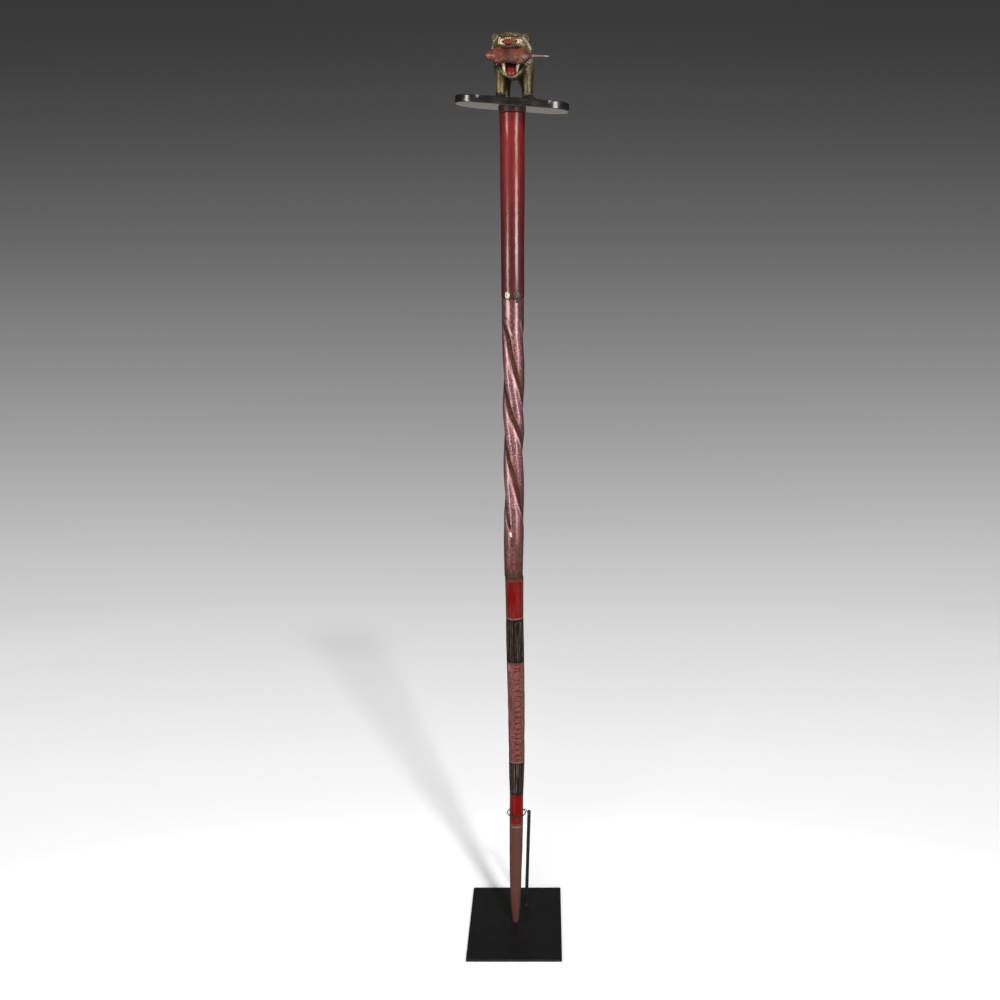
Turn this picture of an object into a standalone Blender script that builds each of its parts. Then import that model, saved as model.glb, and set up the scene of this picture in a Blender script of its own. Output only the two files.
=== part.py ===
"""Linguist staff: a carved leopard on a board, a painted shaft in three lengths, and its steel stand.

Metres, +Z up. The origin is the centre of the base plate's underside, and the leopard faces -Y.
Heights named *_Z are measured from the top of the base plate, on which the staff's foot rests.
"""
import math

import bmesh
import bpy
import numpy as np
from mathutils import Matrix, Vector

GAP = 0.0003

# Stand
PLATE_WIDTH = 0.170
PLATE_DEPTH = 0.220
PLATE_THICKNESS = 0.005
PLATE_EDGE = 0.0006
ROD_FOOT = Vector((0.0188, 0.053, 0.0))
ROD_TOP = Vector((0.0250, 0.053, 0.2000))
ROD_RADIUS = 0.0032
ROD_SIDES = 16
RING_Z = 0.2250
RING_RADIUS = 0.0164
WIRE_RADIUS = 0.0010
STEM_WELD_DROP = 0.0062
STEM_RING_ANGLE = math.radians(35)

# Shaft: the three lengths, then stations of (height, radius) and (height, sideways bow of the axis)
LOWER_JOINT_Z = 0.6739
UPPER_JOINT_Z = 1.1438
SHAFT_TOP_Z = 1.4288
SHAFT_RADII = (
    (0.000, 0.0046), (0.002, 0.0056), (0.0075, 0.0063), (0.0255, 0.0078), (0.0375, 0.0087),
    (0.068, 0.0100), (0.116, 0.0112), (0.150, 0.0120), (0.197, 0.0123), (0.265, 0.0124),
    (0.297, 0.0134), (0.330, 0.0140), (0.444, 0.0149), (0.515, 0.0153), (0.557, 0.0155),
    (0.600, 0.0151), (0.6739, 0.0157), (0.685, 0.0159), (0.738, 0.0170), (0.894, 0.0172),
    (0.945, 0.0180), (1.077, 0.0181), (1.1438, 0.0184), (1.154, 0.0187), (1.211, 0.0189),
    (1.322, 0.0194), (1.395, 0.0193), (1.4288, 0.0206),
)
AXIS_BOW = (
    (0.00, 0.0000), (0.10, 0.0005), (0.20, 0.0024), (0.33, 0.0041), (0.44, 0.0040),
    (0.56, 0.0025), (0.6737, 0.0019), (0.6741, 0.0009), (0.80, 0.0021), (0.95, 0.0029),
    (1.1438, 0.0028), (1.30, 0.0034), (1.43, 0.0040),
)

# Lower length: grooved black bands, and the ladder of short notches between them
BAND_HEIGHTS = ((0.2648, 0.3285), (0.5195, 0.5992))
BAND_GROOVES = 16
BAND_GROOVE_DEPTH = 0.0010
BAND_RUN_OUT = 0.0040
NOTCH_COUNT = 18
NOTCH_TOP_Z = 0.5120
NOTCH_BOTTOM_Z = 0.3370
NOTCH_BEARING = math.radians(-78)
NOTCH_WIDTH = 0.0125
NOTCH_HEIGHT = 0.0034
NOTCH_DEPTH = 0.0013

# Middle length: three grooves twist down it, each given by (height, bearing in degrees) stations
TWIST_GROOVES = (
    ((1.112, -124), (1.081, -115), (1.044, -90), (1.012, -53), (0.980, -24), (0.785, 219), (0.752, 262)),
    ((1.112, -53), (1.080, -14), (0.896, 210), (0.866, 252), (0.833, 286), (0.783, 342), (0.752, 380)),
    ((1.112, 75), (0.995, 217), (0.970, 238), (0.948, 268), (0.930, 302), (0.910, 346), (0.752, 540)),
)
TWIST_TOP_Z = 1.116
TWIST_BOTTOM_Z = 0.750
TWIST_FADE = 0.024
TWIST_DEPTH = 0.0036
TWIST_GROOVE_WIDTH = 0.0082
TWIST_STEP = 0.012
STRAND_POINTS = 4

# Finial board and its neck
BOARD_LENGTH = 0.1770
BOARD_DEPTH = 0.0800
BOARD_THICKNESS = 0.0118
BOARD_CORNER = 0.0320
BOARD_EDGE = 0.0018
BOARD_CENTRE_X = 0.0045
BOARD_TOP_Z = 1.4476
BOARD_ROLL = math.radians(3.95)
BOARD_YAW = math.radians(2.0)
NECK_LOW_RADIUS = 0.0206
NECK_HIGH_RADIUS = 0.0240

# Leopard: height of its ground datum, voxel size of the fused carving, how far it is simplified
LEOPARD_Z = 1.4457
LEOPARD_VOXEL = 0.0013
LEOPARD_SMOOTHING = 4
LEOPARD_KEPT = 0.083

MM = 0.001


def clear_scene():
    for item in list(bpy.data.objects):
        bpy.data.objects.remove(item, do_unlink=True)


def paint(name, colour, roughness, metallic=0.0):
    material = bpy.data.materials.new(name)
    material.use_nodes = True
    shader = material.node_tree.nodes["Principled BSDF"]
    shader.inputs["Base Color"].default_value = (*colour, 1.0)
    shader.inputs["Roughness"].default_value = roughness
    shader.inputs["Metallic"].default_value = metallic
    return material


def add_object(name, mesh, material=None, smooth_below=None):
    """Link a mesh as a named object; faces meeting below the given angle shade smooth."""
    item = bpy.data.objects.new(name, mesh)
    bpy.context.scene.collection.objects.link(item)
    if material:
        mesh.materials.append(material)
    if smooth_below is not None:
        mesh.shade_smooth()
        mesh.set_sharp_from_angle(angle=math.radians(smooth_below))
    return item


def mesh_from(bm, name):
    mesh = bpy.data.meshes.new(name)
    bmesh.ops.recalc_face_normals(bm, faces=bm.faces)
    bm.to_mesh(mesh)
    bm.free()
    return mesh


def hide_helper(item):
    item.hide_render = True
    item.display_type = "WIRE"


def boolean(item, helper, operation):
    """Join or cut an object with a hidden helper object."""
    hide_helper(helper)
    modifier = item.modifiers.new(operation.title(), "BOOLEAN")
    modifier.operation = operation
    modifier.solver = "EXACT"
    modifier.object = helper


def loft(bm, rings):
    """Skin a stack of equal rings, low to high, and cap both ends."""
    rows = [[bm.verts.new(point) for point in ring] for ring in rings]
    count = len(rows[0])
    for low, high in zip(rows, rows[1:]):
        for i in range(count):
            j = (i + 1) % count
            bm.faces.new((low[i], low[j], high[j], high[i]))
    bm.faces.new(rows[0][::-1])
    bm.faces.new(rows[-1])


def ellipsoid(bm, centre, radii, turn=(0, 0, 0)):
    """A closed ellipsoid, sizes in millimetres, turned by degrees about X, Y and Z."""
    turned = Matrix.Identity(4)
    for axis, degrees in zip("XYZ", turn):
        turned = Matrix.Rotation(math.radians(degrees), 4, axis) @ turned
    place = Matrix.Translation(Vector(centre) * MM) @ turned @ Matrix.Diagonal((*[r * MM for r in radii], 1))
    bmesh.ops.create_icosphere(bm, subdivisions=3, radius=1.0, matrix=place)


def limb(bm, *joints, sides=16):
    """A rounded limb through (x, y, z, radius) joints in millimetres: balls with tapers between them."""
    for x, y, z, radius in joints:
        ellipsoid(bm, (x, y, z), (radius, radius, radius))
    for a, b in zip(joints, joints[1:]):
        taper(bm, Vector(a[:3]) * MM, Vector(b[:3]) * MM, a[3] * MM, b[3] * MM, sides)


def taper(bm, start, end, start_radius, end_radius, sides):
    """A straight capped cone from start to end."""
    run = end - start
    turned = run.to_track_quat("Z", "Y").to_matrix().to_4x4()
    bmesh.ops.create_cone(
        bm, cap_ends=True, segments=sides, radius1=start_radius, radius2=end_radius,
        depth=run.length, matrix=Matrix.Translation((start + end) / 2) @ turned)


def radius_at(height):
    return float(np.interp(height, *zip(*SHAFT_RADII)))


def bow_at(height):
    return float(np.interp(height, *zip(*AXIS_BOW)))


def shaft_point(height, bearing, radius):
    """A point on the shaft: height above the plate, bearing from +X, distance from the bowed axis."""
    return Vector((bow_at(height) + radius * math.cos(bearing), radius * math.sin(bearing),
                   PLATE_THICKNESS + height))


def plain_ring(height, sides, grooves_cut=0.0):
    """A ring of the shaft, with every second point set in by the depth of the band's grooves."""
    radius = radius_at(height)
    return [shaft_point(height, 2 * math.pi * i / sides, radius - grooves_cut * (i % 2))
            for i in range(sides)]


def make_plate():
    bm = bmesh.new()
    size = Matrix.Diagonal((PLATE_WIDTH, PLATE_DEPTH, PLATE_THICKNESS, 1))
    bmesh.ops.create_cube(bm, size=1.0, matrix=Matrix.Translation((0, 0, PLATE_THICKNESS / 2)) @ size)
    bmesh.ops.bevel(bm, geom=bm.edges[:], offset=PLATE_EDGE, segments=1, affect="EDGES")
    steel = paint("black steel", (0.012, 0.012, 0.013), 0.55)
    add_object("base_plate", mesh_from(bm, "base_plate"), steel)


def make_rod():
    foot = ROD_FOOT + Vector((0, 0, PLATE_THICKNESS + GAP))
    top = ROD_TOP + Vector((0, 0, PLATE_THICKNESS))
    rings = []
    for height, radius in ((0.0, ROD_RADIUS), (0.9965, ROD_RADIUS), (1.0, ROD_RADIUS * 0.8)):
        centre = foot.lerp(top, height)
        rings.append([centre + Vector((radius * math.cos(turn), radius * math.sin(turn), 0))
                      for turn in (2 * math.pi * i / ROD_SIDES for i in range(ROD_SIDES))])
    bm = bmesh.new()
    loft(bm, rings)
    steel = paint("black rod", (0.015, 0.015, 0.016), 0.5)
    add_object("support_rod", mesh_from(bm, "support_rod"), steel, 40)


def make_ring():
    """The wire ring, and the stem that runs from the rod's front up and forward to the ring."""
    centre = Vector((bow_at(RING_Z), 0, PLATE_THICKNESS + RING_Z))
    bm = bmesh.new()
    around, across = 36, 6
    points = [[bm.verts.new(centre + Vector((
        (RING_RADIUS + WIRE_RADIUS * math.cos(b)) * math.cos(a),
        (RING_RADIUS + WIRE_RADIUS * math.cos(b)) * math.sin(a),
        WIRE_RADIUS * math.sin(b))))
        for b in (2 * math.pi * j / across for j in range(across))]
        for a in (2 * math.pi * i / around for i in range(around))]
    for i in range(around):
        for j in range(across):
            ahead, beside = (i + 1) % around, (j + 1) % across
            bm.faces.new((points[i][j], points[ahead][j], points[ahead][beside], points[i][beside]))
    wire = paint("wire", (0.03, 0.03, 0.03), 0.45)
    ring = add_object("holding_ring", mesh_from(bm, "holding_ring"), wire, 60)

    share = 1 - STEM_WELD_DROP / ROD_TOP.z
    weld = ROD_FOOT.lerp(ROD_TOP, share) + Vector((0, -ROD_RADIUS - GAP, PLATE_THICKNESS))
    landing = centre + RING_RADIUS * Vector((math.cos(STEM_RING_ANGLE), math.sin(STEM_RING_ANGLE), 0))
    leave = weld + Vector((0, -0.010, 0.001))
    arrive = landing + Vector((0.004, 0.013, -0.002))
    bm = bmesh.new()
    rings = []
    for step in range(13):
        t = step / 12
        place = ((1 - t) ** 3 * weld + 3 * t * (1 - t) ** 2 * leave
                 + 3 * t ** 2 * (1 - t) * arrive + t ** 3 * landing)
        rings.append([place + WIRE_RADIUS * Vector((math.cos(a), 0, math.sin(a)))
                      for a in (2 * math.pi * i / 8 for i in range(8))])
    loft(bm, rings)
    boolean(ring, add_object("stem_helper", mesh_from(bm, "stem_helper")), "UNION")


def make_lower_shaft():
    heights = {GAP: 0.0, LOWER_JOINT_Z - GAP: 0.0}
    heights.update({z: 0.0 for z, _ in SHAFT_RADII if GAP < z < LOWER_JOINT_Z - GAP})
    for low, high in BAND_HEIGHTS:
        heights = {z: cut for z, cut in heights.items() if not low < z < high}
        heights.update({low: 0.0, low + BAND_RUN_OUT: BAND_GROOVE_DEPTH,
                        high - BAND_RUN_OUT: BAND_GROOVE_DEPTH, high: 0.0})
    bm = bmesh.new()
    loft(bm, [plain_ring(z, 2 * BAND_GROOVES, heights[z]) for z in sorted(heights)])
    wood = paint("pink wood", (0.33, 0.13, 0.12), 0.5)
    shaft = add_object("lower_shaft", mesh_from(bm, "lower_shaft"), wood, 30)

    bm = bmesh.new()
    for step in range(NOTCH_COUNT):
        height = NOTCH_TOP_Z + (NOTCH_BOTTOM_Z - NOTCH_TOP_Z) * step / (NOTCH_COUNT - 1)
        add_notch(bm, height)
    boolean(shaft, add_object("notch_helper", mesh_from(bm, "notch_helper")), "DIFFERENCE")


def add_notch(bm, height):
    """A V-shaped chisel cut across the shaft: a wedge whose edge points at the axis."""
    radius = radius_at(height)
    outward = Vector((math.cos(NOTCH_BEARING), math.sin(NOTCH_BEARING), 0))
    along = Vector((-math.sin(NOTCH_BEARING), math.cos(NOTCH_BEARING), 0)) * NOTCH_WIDTH / 2
    axis = Vector((bow_at(height), 0, PLATE_THICKNESS + height))
    edge = axis + outward * (radius - NOTCH_DEPTH)
    mouth = axis + outward * (radius + NOTCH_DEPTH)
    rise = Vector((0, 0, NOTCH_HEIGHT))
    corners = (edge, mouth + rise, mouth - rise)
    left, right = ([bm.verts.new(point + side) for point in corners] for side in (-along, along))
    bm.faces.new(left)
    bm.faces.new(right[::-1])
    for i in range(3):
        j = (i + 1) % 3
        bm.faces.new((left[i], right[i], right[j], left[j]))


def groove_bearing(groove, height):
    stations = sorted(groove)
    return math.radians(float(np.interp(height, *zip(*stations))))


def twist_fade(height):
    """0 outside the twisted stretch, rising to 1 over the fade length at each end."""
    inside = min(TWIST_TOP_Z - height, height - TWIST_BOTTOM_Z) / TWIST_FADE
    return min(max(inside, 0.0), 1.0)


def twist_ring(height):
    """Ring of rounded strands: a low point in each groove, then a crowned strand up to the next one."""
    radius = radius_at(height)
    depth = TWIST_DEPTH * twist_fade(height)
    lip = TWIST_GROOVE_WIDTH / 2 / radius
    bearings = sorted(groove_bearing(groove, height) % (2 * math.pi) for groove in TWIST_GROOVES)
    ring = []
    for here, there in zip(bearings, bearings[1:] + [bearings[0] + 2 * math.pi]):
        ring.append(shaft_point(height, here, radius - depth))
        span = there - here - 2 * lip
        for step in range(STRAND_POINTS + 2):
            share = step / (STRAND_POINTS + 1)
            crown = math.sin(math.pi * share) ** 0.8
            reach = radius - depth * 0.38 * (1 - crown)
            ring.append(shaft_point(height, here + lip + span * share, reach))
    return ring


def make_spiral_shaft():
    """Loft the twisted rings, starting each one at the point nearest the start of the ring below."""
    bottom, top = LOWER_JOINT_Z + GAP, UPPER_JOINT_Z - GAP
    steps = math.ceil((TWIST_TOP_Z - TWIST_BOTTOM_Z) / TWIST_STEP)
    heights = [bottom, 0.685, 0.710, 0.735]
    heights += [TWIST_BOTTOM_Z + (TWIST_TOP_Z - TWIST_BOTTOM_Z) * i / steps for i in range(steps + 1)]
    heights += [1.130, top]
    rings = []
    strand = STRAND_POINTS + 3
    for height in heights:
        ring = twist_ring(height)
        if rings:
            below = rings[-1][0]
            starts = range(0, len(ring), strand)
            nearest = min(starts, key=lambda i: (ring[i].xy - below.xy).length)
            ring = ring[nearest:] + ring[:nearest]
        rings.append(ring)
    bm = bmesh.new()
    loft(bm, rings)
    mauve = paint("mauve paint", (0.40, 0.13, 0.16), 0.35)
    add_object("spiral_shaft", mesh_from(bm, "spiral_shaft"), mauve, 50)


def make_upper_shaft():
    heights = [UPPER_JOINT_Z + GAP]
    heights += [z for z, _ in SHAFT_RADII if UPPER_JOINT_Z + GAP < z < SHAFT_TOP_Z]
    heights += [SHAFT_TOP_Z - 0.014, SHAFT_TOP_Z]
    bm = bmesh.new()
    loft(bm, [plain_ring(z, 28) for z in heights])
    deep_red = paint("deep red paint", (0.30, 0.015, 0.02), 0.3)
    add_object("upper_shaft", mesh_from(bm, "upper_shaft"), deep_red, 40)


def board_frame():
    """Place of the board: its top's centre, yawed and rolled as it sits on the shaft."""
    place = Matrix.Translation((BOARD_CENTRE_X, 0, PLATE_THICKNESS + BOARD_TOP_Z))
    return place @ Matrix.Rotation(BOARD_YAW, 4, "Z") @ Matrix.Rotation(BOARD_ROLL, 4, "Y")


def board_outline(shrink=0.0):
    """Rounded rectangle with its four corners as arcs."""
    half_length, half_depth = BOARD_LENGTH / 2 - shrink, BOARD_DEPTH / 2 - shrink
    corner = BOARD_CORNER - shrink
    outline = []
    for quarter, (sx, sy) in enumerate(((1, 1), (-1, 1), (-1, -1), (1, -1))):
        for step in range(9):
            turn = math.pi / 2 * (quarter + step / 8)
            outline.append((sx * (half_length - corner) + corner * math.cos(turn),
                            sy * (half_depth - corner) + corner * math.sin(turn)))
    return outline


def make_board():
    place = board_frame()
    levels = ((-BOARD_THICKNESS, BOARD_EDGE * 0.5), (-BOARD_THICKNESS + BOARD_EDGE * 0.5, 0.0),
              (-BOARD_EDGE, 0.0), (-BOARD_EDGE * 0.3, BOARD_EDGE * 0.3), (0.0, BOARD_EDGE))
    bm = bmesh.new()
    loft(bm, [[place @ Vector((x, y, z)) for x, y in board_outline(shrink)] for z, shrink in levels])
    black = paint("black gloss", (0.010, 0.010, 0.011), 0.25)
    board = add_object("finial_board", mesh_from(bm, "finial_board"), black, 40)

    low = PLATE_THICKNESS + SHAFT_TOP_Z + GAP
    inside = PLATE_THICKNESS + BOARD_TOP_Z - BOARD_THICKNESS / 2
    centre_x = bow_at(SHAFT_TOP_Z)
    bm = bmesh.new()
    taper(bm, Vector((centre_x, 0, low)), Vector((centre_x, 0, inside)),
          NECK_LOW_RADIUS, NECK_HIGH_RADIUS, 28)
    boolean(board, add_object("neck_helper", mesh_from(bm, "neck_helper")), "UNION")


def add_body(bm):
    ellipsoid(bm, (6, -12, 59), (29, 19, 24.5))
    ellipsoid(bm, (7, 6, 58), (28.5, 30, 21.5))
    ellipsoid(bm, (8, 22, 57.5), (29.5, 18, 24.5))
    limb(bm, (6, -12, 66, 22), (4.5, -22, 74, 21))
    limb(bm, (8, 35, 68, 5.5), (14, 40, 58, 5.0), (24, 38, 40, 4.8), (29, 36, 20, 4.6), (30, 35, 6, 4.6))


def add_legs(bm):
    """Straight front legs and heavier hind legs, with a low paw before each."""
    limb(bm, (-13.0, -27, -4, 7.0), (-12.6, -24, 30, 7.2), (-12, -16, 54, 12))
    limb(bm, (28.6, -27, -6, 6.4), (28.2, -24, 30, 7.2), (25.5, -16, 54, 12))
    limb(bm, (-7.5, 28, -4, 7.6), (-8.5, 26, 22, 8.8), (-8, 20, 46, 15))
    limb(bm, (27.5, 28, -6, 8.4), (27.4, 26, 22, 9.2), (23, 20, 46, 15))
    ellipsoid(bm, (-14.0, -30, 1.6), (9.4, 8.6, 4.6))
    ellipsoid(bm, (31.6, -30, -0.4), (9.6, 8.6, 5.0))
    ellipsoid(bm, (-8.5, 22, 1.5), (9.6, 9.5, 5.0))
    ellipsoid(bm, (28.5, 22, -0.4), (9.8, 9.5, 5.2))


def add_head(bm):
    """Skull, short muzzle, nose, eyes, ears and the ruff that frames the face, nose turned towards -X."""
    ellipsoid(bm, (3.2, -27, 77), (26.5, 23, 18.5))
    ellipsoid(bm, (2.6, -38, 79.5), (20, 14, 12))
    ellipsoid(bm, (1.4, -46, 76.5), (11.5, 13, 8.0), (-6, 0, -6))
    ellipsoid(bm, (-0.2, -58, 77.0), (7.6, 5.0, 4.6))
    ellipsoid(bm, (1.0, -50, 71.6), (13.0, 9.0, 4.6))
    ellipsoid(bm, (4.3, -24, 66), (27, 15, 15))
    for side in (-1, 1):
        ellipsoid(bm, (0.9 + side * 8.2, -53, 72.4), (7.6, 7.4, 4.6))
        ellipsoid(bm, (2.3 + side * 12.0, -45.5, 78.6), (6.0, 5.2, 5.0))
        ellipsoid(bm, (2.4 + side * 10.5, -43.5, 84.4), (7.5, 5.6, 3.6))
        ellipsoid(bm, (3.0 + side * 21.8, -19, 87.0), (7.8, 4.8, 9.0), (0, side * 28, 0))
        limb(bm, (3.4 + side * 18.0, -31, 86, 4.2), (4.2 + side * 26.0, -27, 73, 4.6),
             (4.4 + side * 26.5, -22, 60, 4.6), (4.3 + side * 21.0, -27, 50, 4.4))


def add_lower_jaw(bm):
    """The dropped jaw: two rims meeting at the chin, a floor between them and the tongue on it."""
    for side in (-1, 1):
        limb(bm, (4.4 + side * 21.5, -23, 54, 4.4), (4.4 + side * 13.5, -38, 39, 4.4),
             (4.8 + side * 5.0, -46, 31.4, 4.6), (5.0, -46.5, 30.6, 4.8))
    limb(bm, (4.6, -14, 54, 20), (4.8, -30, 42, 12), (5.0, -40, 34.5, 7))
    limb(bm, (4.8, -28, 48, 7), (4.8, -41, 39, 5.6), (4.8, -47, 36.0, 4.4))


def add_prey(bm):
    """The small animal held crosswise: blunt head on the left, haunches on the right."""
    ellipsoid(bm, (-15.5, -52, 58.4), (17.5, 9.6, 10.9))
    ellipsoid(bm, (-25.0, -52, 57.8), (9.6, 7.2, 6.4))
    ellipsoid(bm, (2.0, -51, 58.2), (14, 8.8, 9.6))
    ellipsoid(bm, (17.0, -52, 57.8), (15.5, 9.8, 11.3))
    limb(bm, (24, -52, 58, 7.5), (34, -52, 58.2, 3.6), (38.5, -52, 58.2, 2.3))


def add_spikes(bm):
    """Fangs and the prey's thin tail, too fine for the fused carving."""
    for root, tip in (((15.4, -45, 60), (12.4, -46, 36)), ((-7.4, -45, 60), (-5.0, -46, 36))):
        taper(bm, Vector(root) * MM, Vector(tip) * MM, 3.2 * MM, 1.5 * MM, 12)
    taper(bm, Vector((36, -52, 58.2)) * MM, Vector((61.5, -52, 57.8)) * MM, 1.9 * MM, 0.9 * MM, 10)


def make_leopard():
    """Fuse the overlapping forms into one carving, add the spikes and cut the soles on the board's top."""
    level = Matrix.Translation((0, 0, PLATE_THICKNESS + LEOPARD_Z))
    bm = bmesh.new()
    for build in (add_body, add_legs, add_head, add_lower_jaw, add_prey):
        build(bm)
    bm.transform(level)
    olive = paint("olive gold", (0.22, 0.17, 0.06), 0.35)
    leopard = add_object("leopard_finial", mesh_from(bm, "leopard_finial"), olive, 40)

    remesh = leopard.modifiers.new("Fuse", "REMESH")
    remesh.mode = "VOXEL"
    remesh.voxel_size = LEOPARD_VOXEL
    remesh.use_smooth_shade = True
    smooth = leopard.modifiers.new("Soften", "SMOOTH")
    smooth.factor = 0.5
    smooth.iterations = LEOPARD_SMOOTHING
    decimate = leopard.modifiers.new("Simplify", "DECIMATE")
    decimate.ratio = LEOPARD_KEPT

    bm = bmesh.new()
    add_spikes(bm)
    bm.transform(level)
    boolean(leopard, add_object("spike_helper", mesh_from(bm, "spike_helper")), "UNION")

    bm = bmesh.new()
    depth = 0.030
    block = Matrix.Translation((0, 0, GAP - depth / 2)) @ Matrix.Diagonal((0.25, 0.25, depth, 1))
    bmesh.ops.create_cube(bm, size=1.0, matrix=board_frame() @ block)
    boolean(leopard, add_object("sole_helper", mesh_from(bm, "sole_helper")), "DIFFERENCE")


def main():
    clear_scene()
    make_plate()
    make_rod()
    make_ring()
    make_lower_shaft()
    make_spiral_shaft()
    make_upper_shaft()
    make_board()
    make_leopard()


main()
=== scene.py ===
# Linguist staff: a carved leopard on a black board, a painted shaft in three lengths, and its steel stand.
import math

import bpy
import numpy as np
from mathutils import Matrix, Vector


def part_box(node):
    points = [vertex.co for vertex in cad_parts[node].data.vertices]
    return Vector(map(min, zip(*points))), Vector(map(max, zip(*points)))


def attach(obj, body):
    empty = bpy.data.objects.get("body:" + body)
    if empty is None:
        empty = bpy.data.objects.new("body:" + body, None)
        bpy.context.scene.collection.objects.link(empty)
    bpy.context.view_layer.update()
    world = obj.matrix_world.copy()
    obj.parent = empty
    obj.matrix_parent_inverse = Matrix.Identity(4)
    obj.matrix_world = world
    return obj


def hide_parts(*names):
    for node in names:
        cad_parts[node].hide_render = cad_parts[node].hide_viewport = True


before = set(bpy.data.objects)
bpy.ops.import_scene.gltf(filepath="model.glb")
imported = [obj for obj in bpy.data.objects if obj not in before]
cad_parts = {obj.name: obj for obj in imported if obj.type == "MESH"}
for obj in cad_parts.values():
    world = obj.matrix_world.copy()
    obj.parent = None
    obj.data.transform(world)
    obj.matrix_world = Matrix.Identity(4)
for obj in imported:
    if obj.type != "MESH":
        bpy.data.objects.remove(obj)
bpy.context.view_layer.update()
mm = 0.001
pi = math.pi
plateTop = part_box("base_plate")[1].z  # heights along the shaft are measured from here


# Meshes

def gridFaces(rows, columns):
    # Quads of a stack of rings, wound to face outwards when columns run anticlockwise and rows rise.
    row, column = np.meshgrid(np.arange(rows - 1), np.arange(columns), indexing="ij")
    following = (column + 1) % columns
    corners = (row * columns + column, row * columns + following,
               (row + 1) * columns + following, (row + 1) * columns + column)
    return np.stack(corners, axis=-1).reshape(-1, 4)


def closedTube(grid):
    # A grid of rings closed at both ends: one more point at the middle of each end ring, joined by a fan.
    rows, columns, _ = grid.shape
    points = np.vstack([grid.reshape(-1, 3), grid[0].mean(0), grid[-1].mean(0)])
    ring = np.arange(columns)
    following = (ring + 1) % columns
    top = (rows - 1) * columns
    low = np.stack([np.full(columns, rows * columns), following, ring], axis=-1)
    high = np.stack([np.full(columns, rows * columns + 1), top + ring, top + following], axis=-1)
    return points, gridFaces(rows, columns).tolist() + low.tolist() + high.tolist()


def makeTube(name, x, y, z):
    # A closed tube from the coordinates of its rings, each a row, a column or a grid.
    return makeMesh(name, *closedTube(asPoints(x, y, z)))


def addObject(name, data):
    # A new object in the scene, holding the data.
    made = bpy.data.objects.new(name, data)
    bpy.context.scene.collection.objects.link(made)
    return made


def makeMesh(name, points, faces, sharpAngle=None):
    # Turns arrays into an object at the origin, shaded smooth except across the sharp angle.
    mesh = bpy.data.meshes.new(name)
    mesh.from_pydata(np.asarray(points, dtype=float).tolist(), [], faces)
    mesh.update()
    mesh.shade_smooth()
    if sharpAngle:
        mesh.set_sharp_from_angle(angle=math.radians(sharpAngle))
    return addObject(name, mesh)


def readVectors(rows, key):
    # One row of three numbers for each point.
    flat = np.empty(len(rows) * 3, dtype=np.float32)
    rows.foreach_get(key, flat)
    return flat.reshape(-1, 3).astype(float)


def readPoints(mesh):
    return readVectors(mesh.vertices, "co")


def readNormals(mesh):
    return readVectors(mesh.vertex_normals, "vector")


def writePoints(mesh, points):
    mesh.vertices.foreach_set("co", np.ascontiguousarray(points, dtype=np.float32).ravel())
    mesh.update()


def giveMasks(piece, **masks):
    # One number at each point for each named mask, read by the material; a row or column fills its grid.
    shape = np.broadcast_shapes(*(np.shape(values) for values in masks.values()))
    for name, values in masks.items():
        flat = np.broadcast_to(values, shape).ravel()
        padded = np.zeros(len(piece.data.vertices), dtype=np.float32)
        padded[:flat.size] = flat
        piece.data.attributes.new(name, "FLOAT", "POINT").data.foreach_set("value", padded)


def dress(piece, material, slot, *nodes):
    # Every piece belongs to the one body, takes the material as its finish and stands for its own CAD nodes.
    # The slot is not used.
    piece.data.materials.clear()
    piece.data.materials.append(material)
    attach(piece, "root")
    if nodes:
        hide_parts(*nodes)
    print("made", piece.name, len(piece.data.polygons), "faces")


# Formulas

def ramp(low, high, value):
    # 0 below low, 1 above high, with an S curve between them.
    share = np.clip((value - low) / (high - low), 0, 1)
    return share * share * (3 - 2 * share)


def bump(value, centre, width):
    # A bell of height 1 about the centre.
    return np.exp(-((value - centre) / width) ** 2)


def soft(distance):
    # 1 at distance 0 and a half at distance 1.
    return np.exp(-math.log(2) * distance)


def follow(stations, place):
    # Straight runs between stations of place and value.
    return np.interp(place, *zip(*sorted(stations)))


def wrapAngle(angle):
    return (angle + pi) % (2 * pi) - pi


def allRound(count):
    return np.linspace(0, 2 * pi, count, endpoint=False)


def asPoints(*parts):
    # X, Y and Z, each a row, a column or a grid, as one grid of points.
    return np.stack(np.broadcast_arrays(*parts), axis=-1)


def ripple(bearing, height, seed, turns, perMetre, waves=14):
    # Smooth noise on a tube, about -1 to 1: a sum of waves whose number round the tube is whole.
    rng = np.random.default_rng(seed)
    total = np.zeros(np.broadcast(bearing, height).shape)
    for _ in range(waves):
        around = rng.integers(0, turns + 1)
        along = rng.uniform(-perMetre, perMetre)
        total += np.cos(around * bearing + 2 * pi * along * height + rng.uniform(0, 2 * pi))
    return total / math.sqrt(waves) / 1.4


def fieldNoise(points, seed, size, waves=18):
    # Smooth noise in space, about -1 to 1: plane waves in random directions, each about one size long.
    rng = np.random.default_rng(seed)
    total = np.zeros(len(points))
    for _ in range(waves):
        way = rng.normal(size=3)
        way *= rng.uniform(0.6, 1.5) / (np.linalg.norm(way) * size)
        total += np.cos(2 * pi * (points @ way) + rng.uniform(0, 2 * pi))
    return total / math.sqrt(waves) / 1.4


def turnMatrix(turn):
    # Rotation by degrees about X, then Y, then Z.
    matrix = np.eye(3)
    for axis, degrees in enumerate(turn):
        angle = math.radians(-degrees if axis == 1 else degrees)
        a, b = [k for k in range(3) if k != axis]
        spin = np.eye(3)
        spin[a, a] = spin[b, b] = math.cos(angle)
        spin[a, b] = -math.sin(angle)
        spin[b, a] = math.sin(angle)
        matrix = spin @ matrix
    return matrix


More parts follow.
